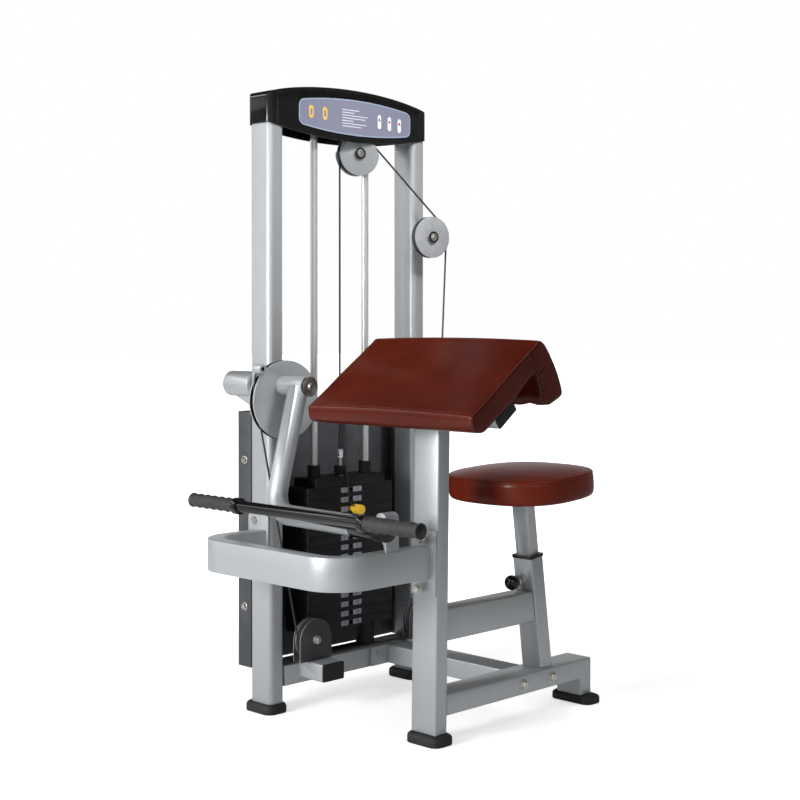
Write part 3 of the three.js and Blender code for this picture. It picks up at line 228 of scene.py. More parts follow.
looks = {
    # Silver powder coat, sprayed and baked: metal flakes, drawn coarse enough to show at
    # 0.9 mm, under a clear layer with a fine orange peel.
    "silver": makeFinish(
        "silver_powder_coat", ("#A6AAAD", "#B4B8BB"), patch=(60, 4), roughness=(0.36, 0.48),
        relief=(1.6, 2, 0.03, 0.6), fleck=(0.9, 2), Metallic=0.45, Coat_Weight=0.35,
        Coat_Roughness=0.22),
    # Gloss ABS and stoved gloss paint: clear reflections over faint flow marks.
    "gloss": makeFinish(
        "gloss_black_plastic", ("#09090A", "#121213"), patch=(45, 3), roughness=(0.12, 0.2),
        relief=(3, 2, 0.03, 0.35), Specular_IOR_Level=0.35, Coat_Weight=0.15,
        Coat_Roughness=0.1),
    # Enamel sprayed on rough cast plates: satin and slightly pebbled.
    "enamel": makeFinish(
        "satin_black_enamel", ("#0D0D0E", "#171718"), patch=(30, 5), roughness=(0.42, 0.6),
        relief=(1.2, 4, 0.08, 0.5), Specular_IOR_Level=0.3),
    # Powder coat on bent sheet: matt dark grey with a fine texture.
    "sheet": makeFinish(
        "dark_grey_powder_coat", ("#3A3B3D", "#45464A"), patch=(50, 4), roughness=(0.5, 0.62),
        relief=(1.4, 3, 0.05, 0.5), Metallic=0.1),
    # Hard chrome, ground and polished along the rod, which draws reflections out lengthwise.
    "chrome": makeFinish(
        "polished_chrome", ["#E6E8E9"], patch=(0.8, 2), roughness=(0.15, 0.19),
        stretch=(1, 1, 0.02), Metallic=0.72),
    # Zinc plate on bolts, nuts and the stack's stem: bright with cloudy patches.
    "zinc": makeFinish(
        "zinc_plated_steel", ("#AFAFA8", "#CFCFCB"), patch=(6, 4), roughness=(0.22, 0.42),
        relief=(0.6, 2, 0.03, 0.4), Metallic=0.95),
    # The arm pad's vinyl; the seat's, duller and lighter, its lighter colour painted light on the
    # seat; and the stitch line, painted dark as shade in its crease.
    "vinyl": vinyl("oxblood_vinyl", ("#471003", "#551807")),
    "seatVinyl": vinyl("seat_oxblood_vinyl_painted_light", ("#58190A", "#67210F"), 0.1),
    "seam": vinyl("vinyl_seam_painted_shade", ("#160401", "#220702")),
    # Moulded rubber of feet and bumpers, and of the grips: matt with a fine grain.
    "rubber": makeFinish(
        "black_rubber", ("#131314", "#202022"), patch=(20, 4), roughness=(0.62, 0.82),
        relief=(1.0, 4, 0.15, 0.6)),
    "grip": makeFinish(
        "dark_grey_grip", ("#242426", "#323234"), patch=(20, 4), roughness=(0.62, 0.82),
        relief=(0.7, 4, 0.15, 0.6)),
    # Injection-moulded ABS of the selector knob: plain yellow with a soft shine.
    "yellow": makeFinish(
        "yellow_plastic", ("#EDBB2C", "#F8CE45"), patch=(12, 3), roughness=(0.3, 0.4),
        Coat_Weight=0.3, Coat_Roughness=0.2),
    # Dark, slightly mottled look on the wheels' groove faces: painted shade in the groove between
    # the discs.
    "grooveShade": makeFinish(
        "painted_groove_shade", ("#2A2B2D", "#37383B"), patch=(16, 4), roughness=(0.4, 0.55),
        relief=(1, 3, 0.05, 0.4)),
    # Die-cast zinc alloy of the wheel discs: satin grey.
    "disc": makeFinish(
        "satin_zinc_alloy", ("#A4A6AA", "#B0B2B6"), patch=(16, 4), roughness=(0.34, 0.46),
        relief=(0.8, 3, 0.03, 0.4), Metallic=0.35),
    "cable": wireRope(),
    "slate": printed("slate_film", "#77788A", 0.4),
    "border": printed("pale_border", "#8FA0B2", 0.4),
    "white": printed("white_print", "#D9DCE2", 0.45),
    "amber": printed("amber_print", "#D9B04A", 0.45),
    "red": printed("red_print", "#A8474C", 0.45),
    "label": printed("label_film", "#868996", 0.5),
    "ink": printed("label_ink", "#20222A", 0.5),
}
print("materials made")


# Pieces

bodyOf = {node: body for body, nodes in frame["record"]["behaviour"]["bodies"].items()
          for node in nodes}


def newPiece(mesh, look, body=None, smooth=None):
    piece = newObject(mesh.name, mesh)
    mesh.materials.clear()
    mesh.materials.append(looks[look])
    if smooth:
        mesh.shade_smooth()
        mesh.set_sharp_from_angle(angle=math.radians(smooth))
    if body:
        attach(piece, body)
    return piece


# A dressed copy of a CAD node: welded, with its long edges eased as bent steel is. The second
# look goes on the faces that where() picks.
easing = {"weld": 0.02, "flat": 0.6, "angle": 35, "segments": 2, "profile": 0.5, "smooth": 40}


def dress(node, look, ease=0.0, slot=None, second=None, where=None):
    mesh = frame["nodes"][node].data.copy()
    mesh.name = node + "_skin"
    build = bmesh.new()
    build.from_mesh(mesh)
    bmesh.ops.remove_doubles(build, verts=build.verts, dist=easing["weld"] * mm)
    bmesh.ops.dissolve_limit(build, angle_limit=math.radians(easing["flat"]), verts=build.verts,
                             edges=build.edges)
    if ease:
        sharp = math.radians(easing["angle"])
        edges = [edge for edge in build.edges
                 if len(edge.link_faces) == 2 and edge.calc_face_angle() > sharp]
        bmesh.ops.bevel(build, geom=edges, offset=ease * mm, offset_type="OFFSET",
                        segments=easing["segments"], profile=easing["profile"],
                        affect="EDGES", clamp_overlap=True)
    build.to_mesh(mesh)
    build.free()
    piece = newPiece(mesh, look, bodyOf[node], easing["smooth"])
    if second:
        mesh.materials.append(looks[second])
        for face in mesh.polygons:
            face.material_index = int(where(face, mesh))
    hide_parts(node)


plateNames = [f"weight_plate_{index:02d}" for index in range(1, 16)]

# Node, look, edge easing in millimetres, record slot.
dressing = [
    ("near_upright", "silver", 0.8, "silver"), ("far_upright", "silver", 0.8, "silver"),
    ("tower_base_beam", "silver", 0.8, "silver"), ("top_beam", "silver", 1.0, "silver"),
    ("pivot_housing", "silver", 1.2, "silver"), ("curl_arm", "silver", 0.0, "silver"),
    ("handle_bar", "gloss", 1.0, "black_gloss"), ("guard_rail", "silver", 3.2, "silver"),
    ("pad_post", "silver", 4.0, "silver"), ("seat_beam", "silver", 4.0, "silver"),
    ("mid_beam", "silver", 4.0, "silver"), ("lateral_tube", "silver", 1.2, "silver"),
    ("seat_sleeve", "silver", 1.0, "silver"), ("sleeve_collar", "gloss", 1.2, "black_paint"),
    ("seat_stem", "silver", 1.0, "silver"), ("pad_support_bar", "silver", 1.0, "silver"),
    ("near_guide_rod", "chrome", 0.0, "chrome"), ("far_guide_rod", "chrome", 0.0, "chrome"),
    ("stack_bumpers", "rubber", 2.0, "rubber"), ("rear_shroud", "sheet", 0.4, "dark_sheet"),
    ("head_plate", "enamel", 1.2, "black_paint"), ("selector_stem", "zinc", 0.0, "bright_steel"),
    ("left_grip", "grip", 0.0, "grip_rubber"), ("right_grip", "grip", 0.0, "grip_rubber"),
    ("selector_pin", "yellow", 1.6, "yellow"), ("pulley_cable", "cable", 0.0, "cable"),
] + [(name, "enamel", 0.9, "black_paint") for name in plateNames]

for skin in dressing:
    dress(*skin)


# Mesh builders

# Joins rings of points into a closed solid. Its ends are flat faces, hollow outlines cut into
# triangles, or arches made of strips from a ring's first half to its second.
def loft(name, rings, ends="flat"):
    count = len(rings[0])
    last = (len(rings) - 1) * count
    points = [tuple(point) for ring in rings for point in ring]
    faces = []
    for base in range(0, last, count):
        for step in range(count):
            a, b = base + step, base + (step + 1) % count
            faces.append((a, b, b + count, a + count))
    if ends == "flat":
        faces.append(tuple(reversed(range(count))))
        faces.append(tuple(range(last, last + count)))
    elif ends == "hollow":
        faces += tessellate_polygon([rings[0]])
        faces += [(last + c, last + b, last + a) for a, b, c in tessellate_polygon([rings[-1]])]
    else:
        for base in (0, last):
            for a in range(count // 2):
                strip = (a, a + 1, (count - a - 1) % count, (count - a) % count)
                faces.append(tuple(base + corner for corner in dict.fromkeys(strip)))
    mesh = bpy.data.meshes.new(name)
    mesh.from_pydata(points, [], faces)
    mesh.update()
    build = bmesh.new()
    build.from_mesh(mesh)
    bmesh.ops.recalc_face_normals(build, faces=build.faces)
    build.to_mesh(mesh)
    build.free()
    return mesh


# Cosine and sine of equal turns round a circle.
def circle(sides):
    turns = [2 * math.pi * step / sides for step in range(sides)]
    return [(math.cos(turn), math.sin(turn)) for turn in turns]


# A turned solid from a list of (distance along, radius) about an axis.
def turned(name, profile, place, axis, sides=32):
    turn = Vector(upward).rotation_difference(Vector(axis))
    rings = []
    for along, radius in profile:
        rings.append([place + turn @ Vector((radius * mm * c, radius * mm * s, along * mm))
                      for c, s in circle(sides)])
    return loft(name, rings)


# A round tube through points, without twist.
def tube(name, points, radius, sides=12):
    rings = []
    reach = radius * mm
    side = None
    for index, point in enumerate(points):
        before = points[max(index - 1, 0)]
        after = points[min(index + 1, len(points) - 1)]
        ahead = (after - before).normalized()
        if side is None:
            side = ahead.orthogonal().normalized()
        side = (side - ahead * side.dot(ahead)).normalized()
        other = ahead.cross(side)
        rings.append([point + side * reach * c + other * reach * s for c, s in circle(sides)])
    return loft(name, rings)


# Points round a rounded rectangle, as (across, up) pairs.
def roundedRing(halfWide, halfTall, corner, steps):
    ring = []
    for quadrant, (sideX, sideY) in enumerate(((1, 1), (-1, 1), (-1, -1), (1, -1))):
        for step in range(steps + 1):
            angle = math.pi / 2 * (quadrant + step / steps)
            ring.append((sideX * (halfWide - corner) + corner * math.cos(angle),
                         sideY * (halfTall - corner) + corner * math.sin(angle)))
    return ring


# Open spline through points, sampled closely.
def openSpline(points, each=6):
    path = []
    for index in range(len(points) - 1):
        p0 = points[max(index - 1, 0)]
        p1, p2 = points[index], points[index + 1]
        p3 = points[min(index + 2, len(points) - 1)]
        for sub in range(each):
            t = sub / each
            path.append((p1 * 2 + (p2 - p0) * t + (p0 * 2 - p1 * 5 + p2 * 4 - p3) * t * t
                         + (p1 * 3 - p0 - p2 * 3 + p3) * t ** 3) / 2)
    path.append(points[-1])
    return path


# Closed centripetal spline through points, sampled at equal lengths.
def closedSpline(points, steps, each=24, least=1e-9):
    dense = []
    count = len(points)
    for index in range(count):
        p0, p1, p2, p3 = (points[(index + k - 1) % count] for k in range(4))
        t1 = (p1 - p0).length ** 0.5
        t2 = t1 + (p2 - p1).length ** 0.5
        t3 = t2 + (p3 - p2).length ** 0.5
        for sub in range(each):
            t = t1 + (t2 - t1) * sub / each
            a1 = p0 * ((t1 - t) / t1) + p1 * (t / t1)
            a2 = p1 * ((t2 - t) / (t2 - t1)) + p2 * ((t - t1) / (t2 - t1))
            a3 = p2 * ((t3 - t) / (t3 - t2)) + p3 * ((t - t2) / (t3 - t2))
            b1 = a1 * ((t2 - t) / t2) + a2 * (t / t2)
            b2 = a2 * ((t3 - t) / (t3 - t1)) + a3 * ((t - t1) / (t3 - t1))
            dense.append(b1 * ((t2 - t) / (t2 - t1)) + b2 * ((t - t1) / (t2 - t1)))
    lengths = [0]
    for index in range(len(dense)):
        lengths.append(lengths[-1] + (dense[(index + 1) % len(dense)] - dense[index]).length)
    ring = []
    place = 0
    for step in range(steps):
        target = lengths[-1] * step / steps
        while lengths[place + 1] < target:
            place += 1
        part = (target - lengths[place]) / max(lengths[place + 1] - lengths[place], least)
        ring.append(dense[place].lerp(dense[(place + 1) % len(dense)], part))
    return ring


# The arm's pivot across the near upright.
pivot = {"x": 25, "z": 835}

# Wheels: pale discs whose groove faces are painted dark as shade in the groove, and dark cheek
# plates whose small edge faces are painted pale as a highlight. The turn is the way an axle
# points in plan, in degrees.
wheel = {"ease": 0.8, "groove": 8.4, "cheekEase": 0.6, "highlightEdgeOn": 0.3, "small": 3e-4, "turn": {
    "lower_near_pulley": 0, "lower_far_pulley": 0, "side_pulley": 12, "upper_pulley": 16}}

# Cam: between its two sheets, a groove runs round the middle of its outline; its faces and the
# sheets' inner faces take black enamel, painted shade in the groove.
cam = {"ease": 0.7, "x": 36.5, "z": 798, "halfWide": 107, "halfTall": 100, "inner": 0.5,
       "outer": 0.92, "front": -20, "back": -5, "flat": 0.8}
hub = {"ease": 1.2, "bolt": 9.6, "facing": -0.5}
anchorSocket = {"place": (-50, -29, 878), "profile": [(0, 5.8), (2.5, 5.8), (2.6, 4), (0.6, 3.2)]}


def dressWheels():
    for node, turn in wheel["turn"].items():
        low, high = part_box(node)
        middle = (low + high) / 2
        axis = Vector((math.sin(math.radians(turn)), math.cos(math.radians(turn)), 0))
        # The groove faces take the dark look: painted shade in the groove.
        dress(node, "disc", wheel["ease"], "pulley", "grooveShade",
              lambda face, mesh: abs((face.center - middle).dot(axis)) < wheel["groove"] * mm)
    # The cheek plates' small edge faces take the pale disc look: a painted highlight along their
    # edges.
    for node in ("lower_near_bracket", "lower_far_bracket"):
        dress(node, "sheet", wheel["cheekEase"], "dark_sheet", "disc",
              lambda face, mesh: abs(face.normal.y) < wheel["highlightEdgeOn"]
              and face.area < wheel["small"])


def inGroove(face, mesh):
    middle = at(cam["x"], 0, cam["z"])
    reach = 0
    for index in face.vertices:
        place = (mesh.vertices[index].co - middle) / mm
        reach = max(reach, (place.x / cam["halfWide"]) ** 2 + (place.z / cam["halfTall"]) ** 2)
    if abs(face.normal.y) < cam["flat"]:
        return cam["inner"] < reach < cam["outer"]
    depth = (face.center - middle).y / mm
    return reach > cam["inner"] and cam["front"] < depth < cam["back"]


def onHubFace(face, mesh):
    across = (face.center - at(pivot["x"], 0, pivot["z"])).xz.length
    return face.normal.y < hub["facing"] or across < hub["bolt"] * mm


def dressArm():
    # The groove's faces are painted black enamel as shade.
    dress("cam", "silver", cam["ease"], "silver", "enamel", inGroove)
    dress("pivot_cap", "gloss", hub["ease"], "black_paint", "zinc", onHubFace)
    socket = turned("anchor_socket", anchorSocket["profile"], at(*anchorSocket["place"]),
                    toFront, sides=20)
    newPiece(socket, "enamel", "swing_arm", smooth=40)


dressWheels()
dressArm()


# Cap: a hollow shell, open below, with rounded upright corners. Rings run round it in plan.
cap = {"left": -4.3, "right": 571.3, "front": -4.3, "back": 84.3, "corner": 18, "inner": 8,
       "shoulder": 12, "wall": 4, "ease": 2.2, "lip": 0.8, "endLow": 1500, "midLow": 1472,
       "endHigh": 1575, "midHigh": 1609.15, "swell": 0.8, "stations": 56, "cornerSteps": 8,
       "easeSteps": 4}


def capTop(x):
    share = (x - cap["left"]) / (cap["right"] - cap["left"])
    swell = (4 * share * (1 - share)) ** cap["swell"]
    high = cap["endHigh"] + (cap["midHigh"] - cap["endHigh"]) * swell
    reach = max(0, cap["shoulder"] - min(x - cap["left"], cap["right"] - x))
    return high - cap["shoulder"] + math.sqrt(max(0, cap["shoulder"] ** 2 - reach ** 2))


def capBottom(x):
    share = (x - cap["left"]) / (cap["right"] - cap["left"])
    return cap["endLow"] + (cap["midLow"] - cap["endLow"]) * 4 * share * (1 - share)


# Half of the plan ring, from the middle of the left end along the front to the right end.
def capHalf(inset):
    left, right, front = cap["left"] + inset, cap["right"] - inset, cap["front"] + inset
    corner = cap["corner"] - inset if inset <= cap["ease"] else cap["inner"]
    points = [(left, (cap["front"] + cap["back"]) / 2)]
    for step in range(cap["cornerSteps"] + 1):
        angle = math.pi / 2 * step / cap["cornerSteps"]
        points.append((left + corner * (1 - math.cos(angle)),
                       front + corner * (1 - math.sin(angle))))
    start = points[::-1]
    for step in range(1, cap["stations"]):
        points.append((left + corner + (right - left - 2 * corner) * step / cap["stations"],
                       front))
    return points + [(left + right - x, y) for x, y in start]


def dressCap():
    rings = []

    def addRing(inset, height):
        half = capHalf(inset)
        back = [(x, cap["front"] + cap["back"] - y) for x, y in reversed(half[1:-1])]
        rings.append([at(x, y, height(x)) for x, y in half + back])

    ease, wall, lip = cap["ease"], cap["wall"], cap["lip"]
    addRing(wall, lambda x: capTop(x) - wall)
    addRing(wall, lambda x: capBottom(x) + lip)
    addRing(wall - lip, capBottom)
    addRing(lip, capBottom)
    addRing(0, lambda x: capBottom(x) + lip)
    for step in range(cap["easeSteps"] + 1):
        angle = math.pi / 2 * step / cap["easeSteps"]
        addRing(ease * (1 - math.cos(angle)), lambda x: capTop(x) - ease * (1 - math.sin(angle)))
    shell = loft("top_cap_shell", rings, "arches")
    piece = newPiece(shell, "gloss", "frame", smooth=40)
    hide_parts("top_cap")


# Raised panel on the cap's face, behind the placard, with a lit edge: pairs of inset and depth.
panel = {"margin": 27, "low": 2.4, "high": 9, "steps": 60,
         "edge": ((0, 0.3), (0, -0.4), (0.2, -0.75), (0.5, -0.9))}


def addCapPanel():
    left, right = cap["left"] + panel["margin"], cap["right"] - panel["margin"]
    rings = []
    for inset, depth in panel["edge"]:
        low, high = [], []
        for step in range(panel["steps"] + 1):
            x = left + inset + (right - left - 2 * inset) * step / panel["steps"]
            low.append(at(x, cap["front"] + depth, capBottom(x) + panel["low"] + inset))
            high.append(at(x, cap["front"] + depth, capTop(x) - panel["high"] - inset))
        rings.append(low + high[::-1])
    newPiece(loft("cap_panel", rings), "gloss", "frame", smooth=35)


dressCap()
addCapPanel()
print("frame dressed")


# Bolt with a washer and a hex head, standing on a face. Each has its own scale.
bolt = {"washer": 10.5, "thick": 1.6, "bevel": (0.6, 0.3), "head": 8.2, "tall": 5.4,
        "chamfer": (0.7, 0.8)}
bolts = [
    ("guard_bolt_top", (76.6, -455, 488), toLeft, 1.2),
    ("guard_bolt_low", (74.8, -446, 368), toLeft, 1.2),
    ("guard_upright_bolt_top", (-5.3, 51.5, 491), toLeft, 1.2),
    ("guard_upright_bolt_low", (-5.3, 40, 369), toLeft, 1.2),
    ("beam_bolt_left", (409, -492, 91), toFront, 1.4),
    ("beam_bolt_right", (522, -492, 91), toFront, 1.4),
    ("flange_bolt", (378, -6.3, 96), toFront, 1),
    ("shroud_bolt_top", (4, 104, 640), toLeft, 1),
    ("shroud_bolt_low", (4, 104, 262), toLeft, 1),
    ("near_wheel_bolt", (126, -40.5, 178), toFront, 1),
    ("far_wheel_bolt", (532, -34.3, 178), toFront, 1),
]

# Upper wheels: the axle's place, the way it points and how far out the bolt stands, over a
# thin spacer.
axles = [("side_wheel_bolt", (542, -44, 1228), "side_pulley", 17),
         ("upper_wheel_bolt", (329.55, 25.39, 1446), "upper_pulley", 20)]
spacer = {"sink": 0.6, "profile": [(0, 15), (0.6, 15.6), (1.4, 15)]}


def addBolt(name, place, axis, scale=1):
    wide, head = bolt["washer"] * scale, bolt["head"] * scale
    thick, tall = bolt["thick"], bolt["tall"]
    inset, rise = bolt["bevel"]
    level, narrow = bolt["chamfer"]
    washer = turned(name, [(0, wide - inset), (rise, wide), (thick - rise, wide),
                           (thick, wide - inset)], place, axis)
    hexagon = turned(name + "_head", [(thick, head), (thick + tall * level, head),
                                      (thick + tall, head * narrow)], place, axis, sides=6)
    build = bmesh.new()
    build.from_mesh(washer)
    build.from_mesh(hexagon)
    build.to_mesh(washer)
    build.free()
    newPiece(washer, "zinc", "frame", smooth=30)


def addBolts():
    for name, place, axis, scale in bolts:
        addBolt(name, at(*place), axis, scale)
    for name, place, node, reach in axles:
        turn = math.radians(wheel["turn"][node])
        axis = Vector((-math.sin(turn), -math.cos(turn), 0))
        addBolt(name, at(*place) + axis * reach * mm, axis)
        ring = turned(name + "_spacer", spacer["profile"],
                      at(*place) + axis * (reach - spacer["sink"]) * mm, axis)
        newPiece(ring, "enamel", "frame", smooth=30)


# Cable end on the stem: a bright swaged sleeve above a black lock nut.
stemEnd = {"x": 278.6, "y": 40, "nutLow": 585.5, "sleeveLow": 630.7,
           "nut": [(0, 15.6), (0.8, 16.4), (24, 16.4), (25.8, 14.6), (26, 7.4)],
           "sleeve": [(0, 6.6), (1.2, 8.7), (5, 8.9), (6, 8.2), (7, 8.9), (23.4, 8.9),
                      (23.8, 8.3)]}


def addCableEnd():
    x, y, body = stemEnd["x"], stemEnd["y"], bodyOf["selector_stem"]
    swage = turned("cable_sleeve", stemEnd["sleeve"], at(x, y, stemEnd["sleeveLow"]), upward,
                   sides=28)
    newPiece(swage, "chrome", body, smooth=35)
    nut = turned("stem_lock_nut", stemEnd["nut"], at(x, y, stemEnd["nutLow"]), upward, sides=6)
    newPiece(nut, "enamel", body, smooth=30)


addCableEnd()
addBolts()


# Rubber feet: rounded blocks with an eased top edge, as pairs of height and inset.
foot = {"corner": 22, "steps": 8, "tall": 24.7, "side": [
    (0, 1.5), (1, 0.3), (3, 0), (16, 0), (19, 0.7), (22, 2.6), (24, 5.5), (24.6, 7.5)]}


def addFoot(node):
    low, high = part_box(node)
    middle = (low + high) / 2
    halfX, halfY = (high.x - low.x) / 2 / mm, (high.y - low.y) / 2 / mm
    rings = []
    for z, inset in foot["side"]:
        level = low.z + z * (high.z - low.z) / foot["tall"]
        rings.append([Vector((middle.x + x * mm, middle.y + y * mm, level)) for x, y in
                      roundedRing(halfX - inset, halfY - inset, foot["corner"], foot["steps"])])
    piece = newPiece(loft(node + "_block", rings), "rubber", "frame", smooth=40)
    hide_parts(node)


for node in ("near_upright_foot", "far_upright_foot", "post_foot", "rear_foot"):
    addFoot(node)


# The seat's leaning sleeve carries the locking pin, and the seat along the same line.
sleeve = {"slope": 0.135, "foot": (509.5, -452, 117), "pin": 236, "seat": 442}
sleeveLean = math.atan(sleeve["slope"])
sleeveFoot = at(*sleeve["foot"])
sleeveOut = Vector((-math.cos(sleeveLean), 0, -math.sin(sleeveLean)))
sleeveUp = Vector((-math.sin(sleeveLean), 0, math.cos(sleeveLean)))

# Locking pin: a bright shank and ring behind a black ball knob. Each part has its look, slot,
# sides, smoothing angle and profile.
popPin = [
    ("pop_pin_shank", "zinc", "bright_steel", 20, 40,
     [(5.6, 5.6), (5.6, 5.9), (55.5, 5.9), (55.7, 5.4)]),
    ("pop_pin_knob", "gloss", "black_gloss", 32, 50,
     [(55.5, 6), (56, 11), (57.5, 14), (59, 15.5), (61, 16.5), (66, 18.6), (71, 18.9), (76, 18),
      (80.5, 15), (83.5, 10.5), (85, 5), (85.4, 1)]),
    ("pop_pin_ring", "zinc", "bright_steel", 32, 40,
     [(46, 6.1), (46, 12.5), (46.8, 13.4), (51.5, 13.4), (52.5, 12.6), (52.5, 6.1)]),
]


def addPopPin():
    base = sleeveFoot + sleeveUp * sleeve["pin"] * mm
    for name, look, slot, sides, smooth, profile in popPin:
        mesh = turned(name, profile, base, sleeveOut, sides)
        piece = newPiece(mesh, look, "seat_pin", smooth)
        if name == "pop_pin_shank":
            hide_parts("pop_pin")


addPopPin()


# Rubber end caps pressed into open tube ends, with a raised rim: place, half size, the way
# they face and the way up. The pad's bar lies on the pad's slope.
slope = math.radians(36.4)
slopeOut = (-math.sin(slope), 0, math.cos(slope))
endCap = {"corner": 4, "steps": 4, "rim": ((0, 0), (2.45, 0), (3.5, 1.2))}
endCaps = [
    ("stub_end_cap", (137.5, -85.3, 102.5), (36.5, 22.5), toFront, upward),
    ("bar_near_cap", (122, -677.3, 785), (36, 12.5), toFront, slopeOut),
    ("bar_far_cap", (122, -226.7, 785), (36, 12.5), toBack, slopeOut),
]


def addEndCap(name, place, half, facing, up):
    out, rise = Vector(facing).normalized(), Vector(up).normalized()
    across = rise.cross(out)
    rings = []
    for depth, shrink in endCap["rim"]:
        ring = roundedRing(half[0] - shrink, half[1] - shrink, endCap["corner"] - shrink,
                           endCap["steps"])
        rings.append([at(*place) + (across * x + rise * y + out * depth) * mm for x, y in ring])
    newPiece(loft(name, rings), "rubber", "frame", smooth=40)


for row in endCaps:
    addEndCap(*row)
print("fasteners and caps made")


# Arm pad: the outline runs from the front lip over the top to the ridge, down the rear flap
# and back along the underside, as shares of the pad's reach and rise.
pad = {"near": -719, "far": -185, "front": -37, "low": 752, "reach": 312, "rise": 201,
       "edge": 9, "edgeSteps": 12, "crown": 5, "steps": 150, "stations": 96, "outline": [
           (0.0, 0.172), (0.006, 0.2), (0.024, 0.222), (0.08, 0.282), (0.19, 0.4),
           (0.359, 0.594), (0.535, 0.784), (0.696, 0.957), (0.734, 1), (0.779, 0.975),
           (0.856, 0.841), (0.946, 0.622), (1, 0.398), (0.99, 0.363), (0.92, 0.308),
           (0.837, 0.264), (0.785, 0.289), (0.756, 0.463), (0.715, 0.627), (0.67, 0.617),
           (0.442, 0.338), (0.215, 0.1), (0.119, 0.01), (0.054, 0.012), (0.018, 0.045),
           (0.006, 0.1)]}

# Soft waves in the cover where it is pulled round the fold and the flap: where they begin,
# over what length they grow, how high they are, and how their pitch drifts.
waves = {"from": 150, "grow": 60, "under": 0.15, "high": 2.6, "pitch": 15, "sway": 1.9,
         "drift": (41, 26), "fade": (0.6, 0.4), "fadeOver": (23, 19)}


def padPoint(share):
    return Vector((pad["front"] + share[0] * pad["reach"], 0,
                   pad["low"] + share[1] * pad["rise"]))


def waveLift(place, out, distance):
    grow = max(0, min(1, (place.x - waves["from"]) / waves["grow"]))
    drift = math.sin(distance / waves["drift"][0] + place.z / waves["drift"][1])
    fade = math.sin(distance / waves["fadeOver"][0] + place.z / waves["fadeOver"][1])
    return (grow * max(0, waves["under"] - out.z) * waves["high"]
            * math.sin(distance / waves["pitch"] + waves["sway"] * drift)
            * (waves["fade"][0] + waves["fade"][1] * fade))


# A place on the pad's surface, raised by a lift.
def offPad(place, out, lift, y):
    return at(place.x + out.x * lift, y, place.z + out.z * lift)


# How far the crowned face stands out at a distance along the pad.
def crownLift(out, distance):
    share = 2 * distance / (pad["far"] - pad["near"]) - 1
    return pad["crown"] * (1 - share * share) * max(out.z, 0)


def padPiece():
    outline = closedSpline([padPoint(share) for share in pad["outline"]], pad["steps"])
    outward = []
    for index in range(len(outline)):
        run = outline[(index + 1) % len(outline)] - outline[index - 1]
        outward.append(Vector((-run.z, 0, run.x)).normalized())
    long, edge = pad["far"] - pad["near"], pad["edge"]
    stations = []
    for step in range(pad["edgeSteps"] + 1):
        angle = math.pi / 2 * step / pad["edgeSteps"]
        stations.append((edge * (1 - math.cos(angle)), edge * (1 - math.sin(angle))))
    ends = [(long - distance, inset) for distance, inset in reversed(stations)]
    for step in range(1, pad["stations"]):
        stations.append((edge + (long - 2 * edge) * step / pad["stations"], 0))
    rings = []
    for distance, inset in stations + ends:
        ring = []
        for place, out in zip(outline, outward):
            lift = crownLift(out, distance) - inset + waveLift(place, out, distance)
            ring.append(offPad(place, out, lift, pad["near"] + distance))
        rings.append(ring)
    cover = loft("arm_pad_cover", rings, "hollow")
    piece = newPiece(cover, "vinyl", "frame", smooth=60)
    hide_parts("arm_pad")
    return outline, outward, stations


padOutline, padOutward, padStations = padPiece()

padEnds = {"near": (pad["near"], -1), "far": (pad["far"], 1)}

# Piping sewn round both ends of the pad.
piping = {"radius": 1.9, "inset": 0.26, "sides": 8}


def addPadPiping():
    inset = pad["edge"] * piping["inset"]
    for end, (y, side) in padEnds.items():
        loop = [offPad(place, out, -inset, y - side * inset)
                for place, out in zip(padOutline, padOutward)]
        mesh = tube(f"{end}_pad_piping", loop + loop[:1], piping["radius"], piping["sides"])
        newPiece(mesh, "vinyl", "frame", smooth=60)


# Gathered folds of the cover on the pad's end faces, from the inner corner to the outer curve,
# each from a start to a stop, and the sewn line they run into, in shares as the outline is.
gather = {"sides": 10, "steps": 16, "wander": 1.6, "turns": 5, "wide": (0.3, 3.4),
          "tall": (0.25, 1.5), "lean": 0.6, "blunt": 0.8, "folds": [
              ((0.702, 0.655), (0.655, 0.9)), ((0.712, 0.66), (0.715, 0.9)),
              ((0.725, 0.65), (0.78, 0.85)), ((0.735, 0.6), (0.81, 0.73)),
              ((0.712, 0.605), (0.752, 0.585)), ((0.734, 0.54), (0.77, 0.515)),
              ((0.748, 0.475), (0.785, 0.45)), ((0.758, 0.41), (0.798, 0.385)),
              ((0.772, 0.345), (0.812, 0.325))]}
# The sewn line on each end face is a thin tube in the dark seam look: painted shade in the crease
# between the end face and the flap.
endSeam = {"radius": 1.1, "sides": 8, "each": 8, "line": [
    (0.63, 0.89), (0.664, 0.79), (0.7, 0.66), (0.733, 0.6), (0.764, 0.48), (0.781, 0.39),
    (0.795, 0.3)]}


def gatherRings(start, stop, number, y, side):
    across = Vector((-(stop - start).z, 0, (stop - start).x)).normalized()
    rings = []
    for step in range(gather["steps"] + 1):
        share = step / gather["steps"]
        wander = gather["wander"] * math.sin(gather["turns"] * share + number)
        middle = start.lerp(stop, share) + across * wander
        swell = math.sin(math.pi * share ** gather["lean"]) ** gather["blunt"]
        wide = gather["wide"][0] + gather["wide"][1] * swell
        tall = gather["tall"][0] + gather["tall"][1] * swell
        rings.append([at(middle.x + across.x * wide * c, y + side * tall * s,
                         middle.z + across.z * wide * c) for c, s in circle(gather["sides"])])
    return rings


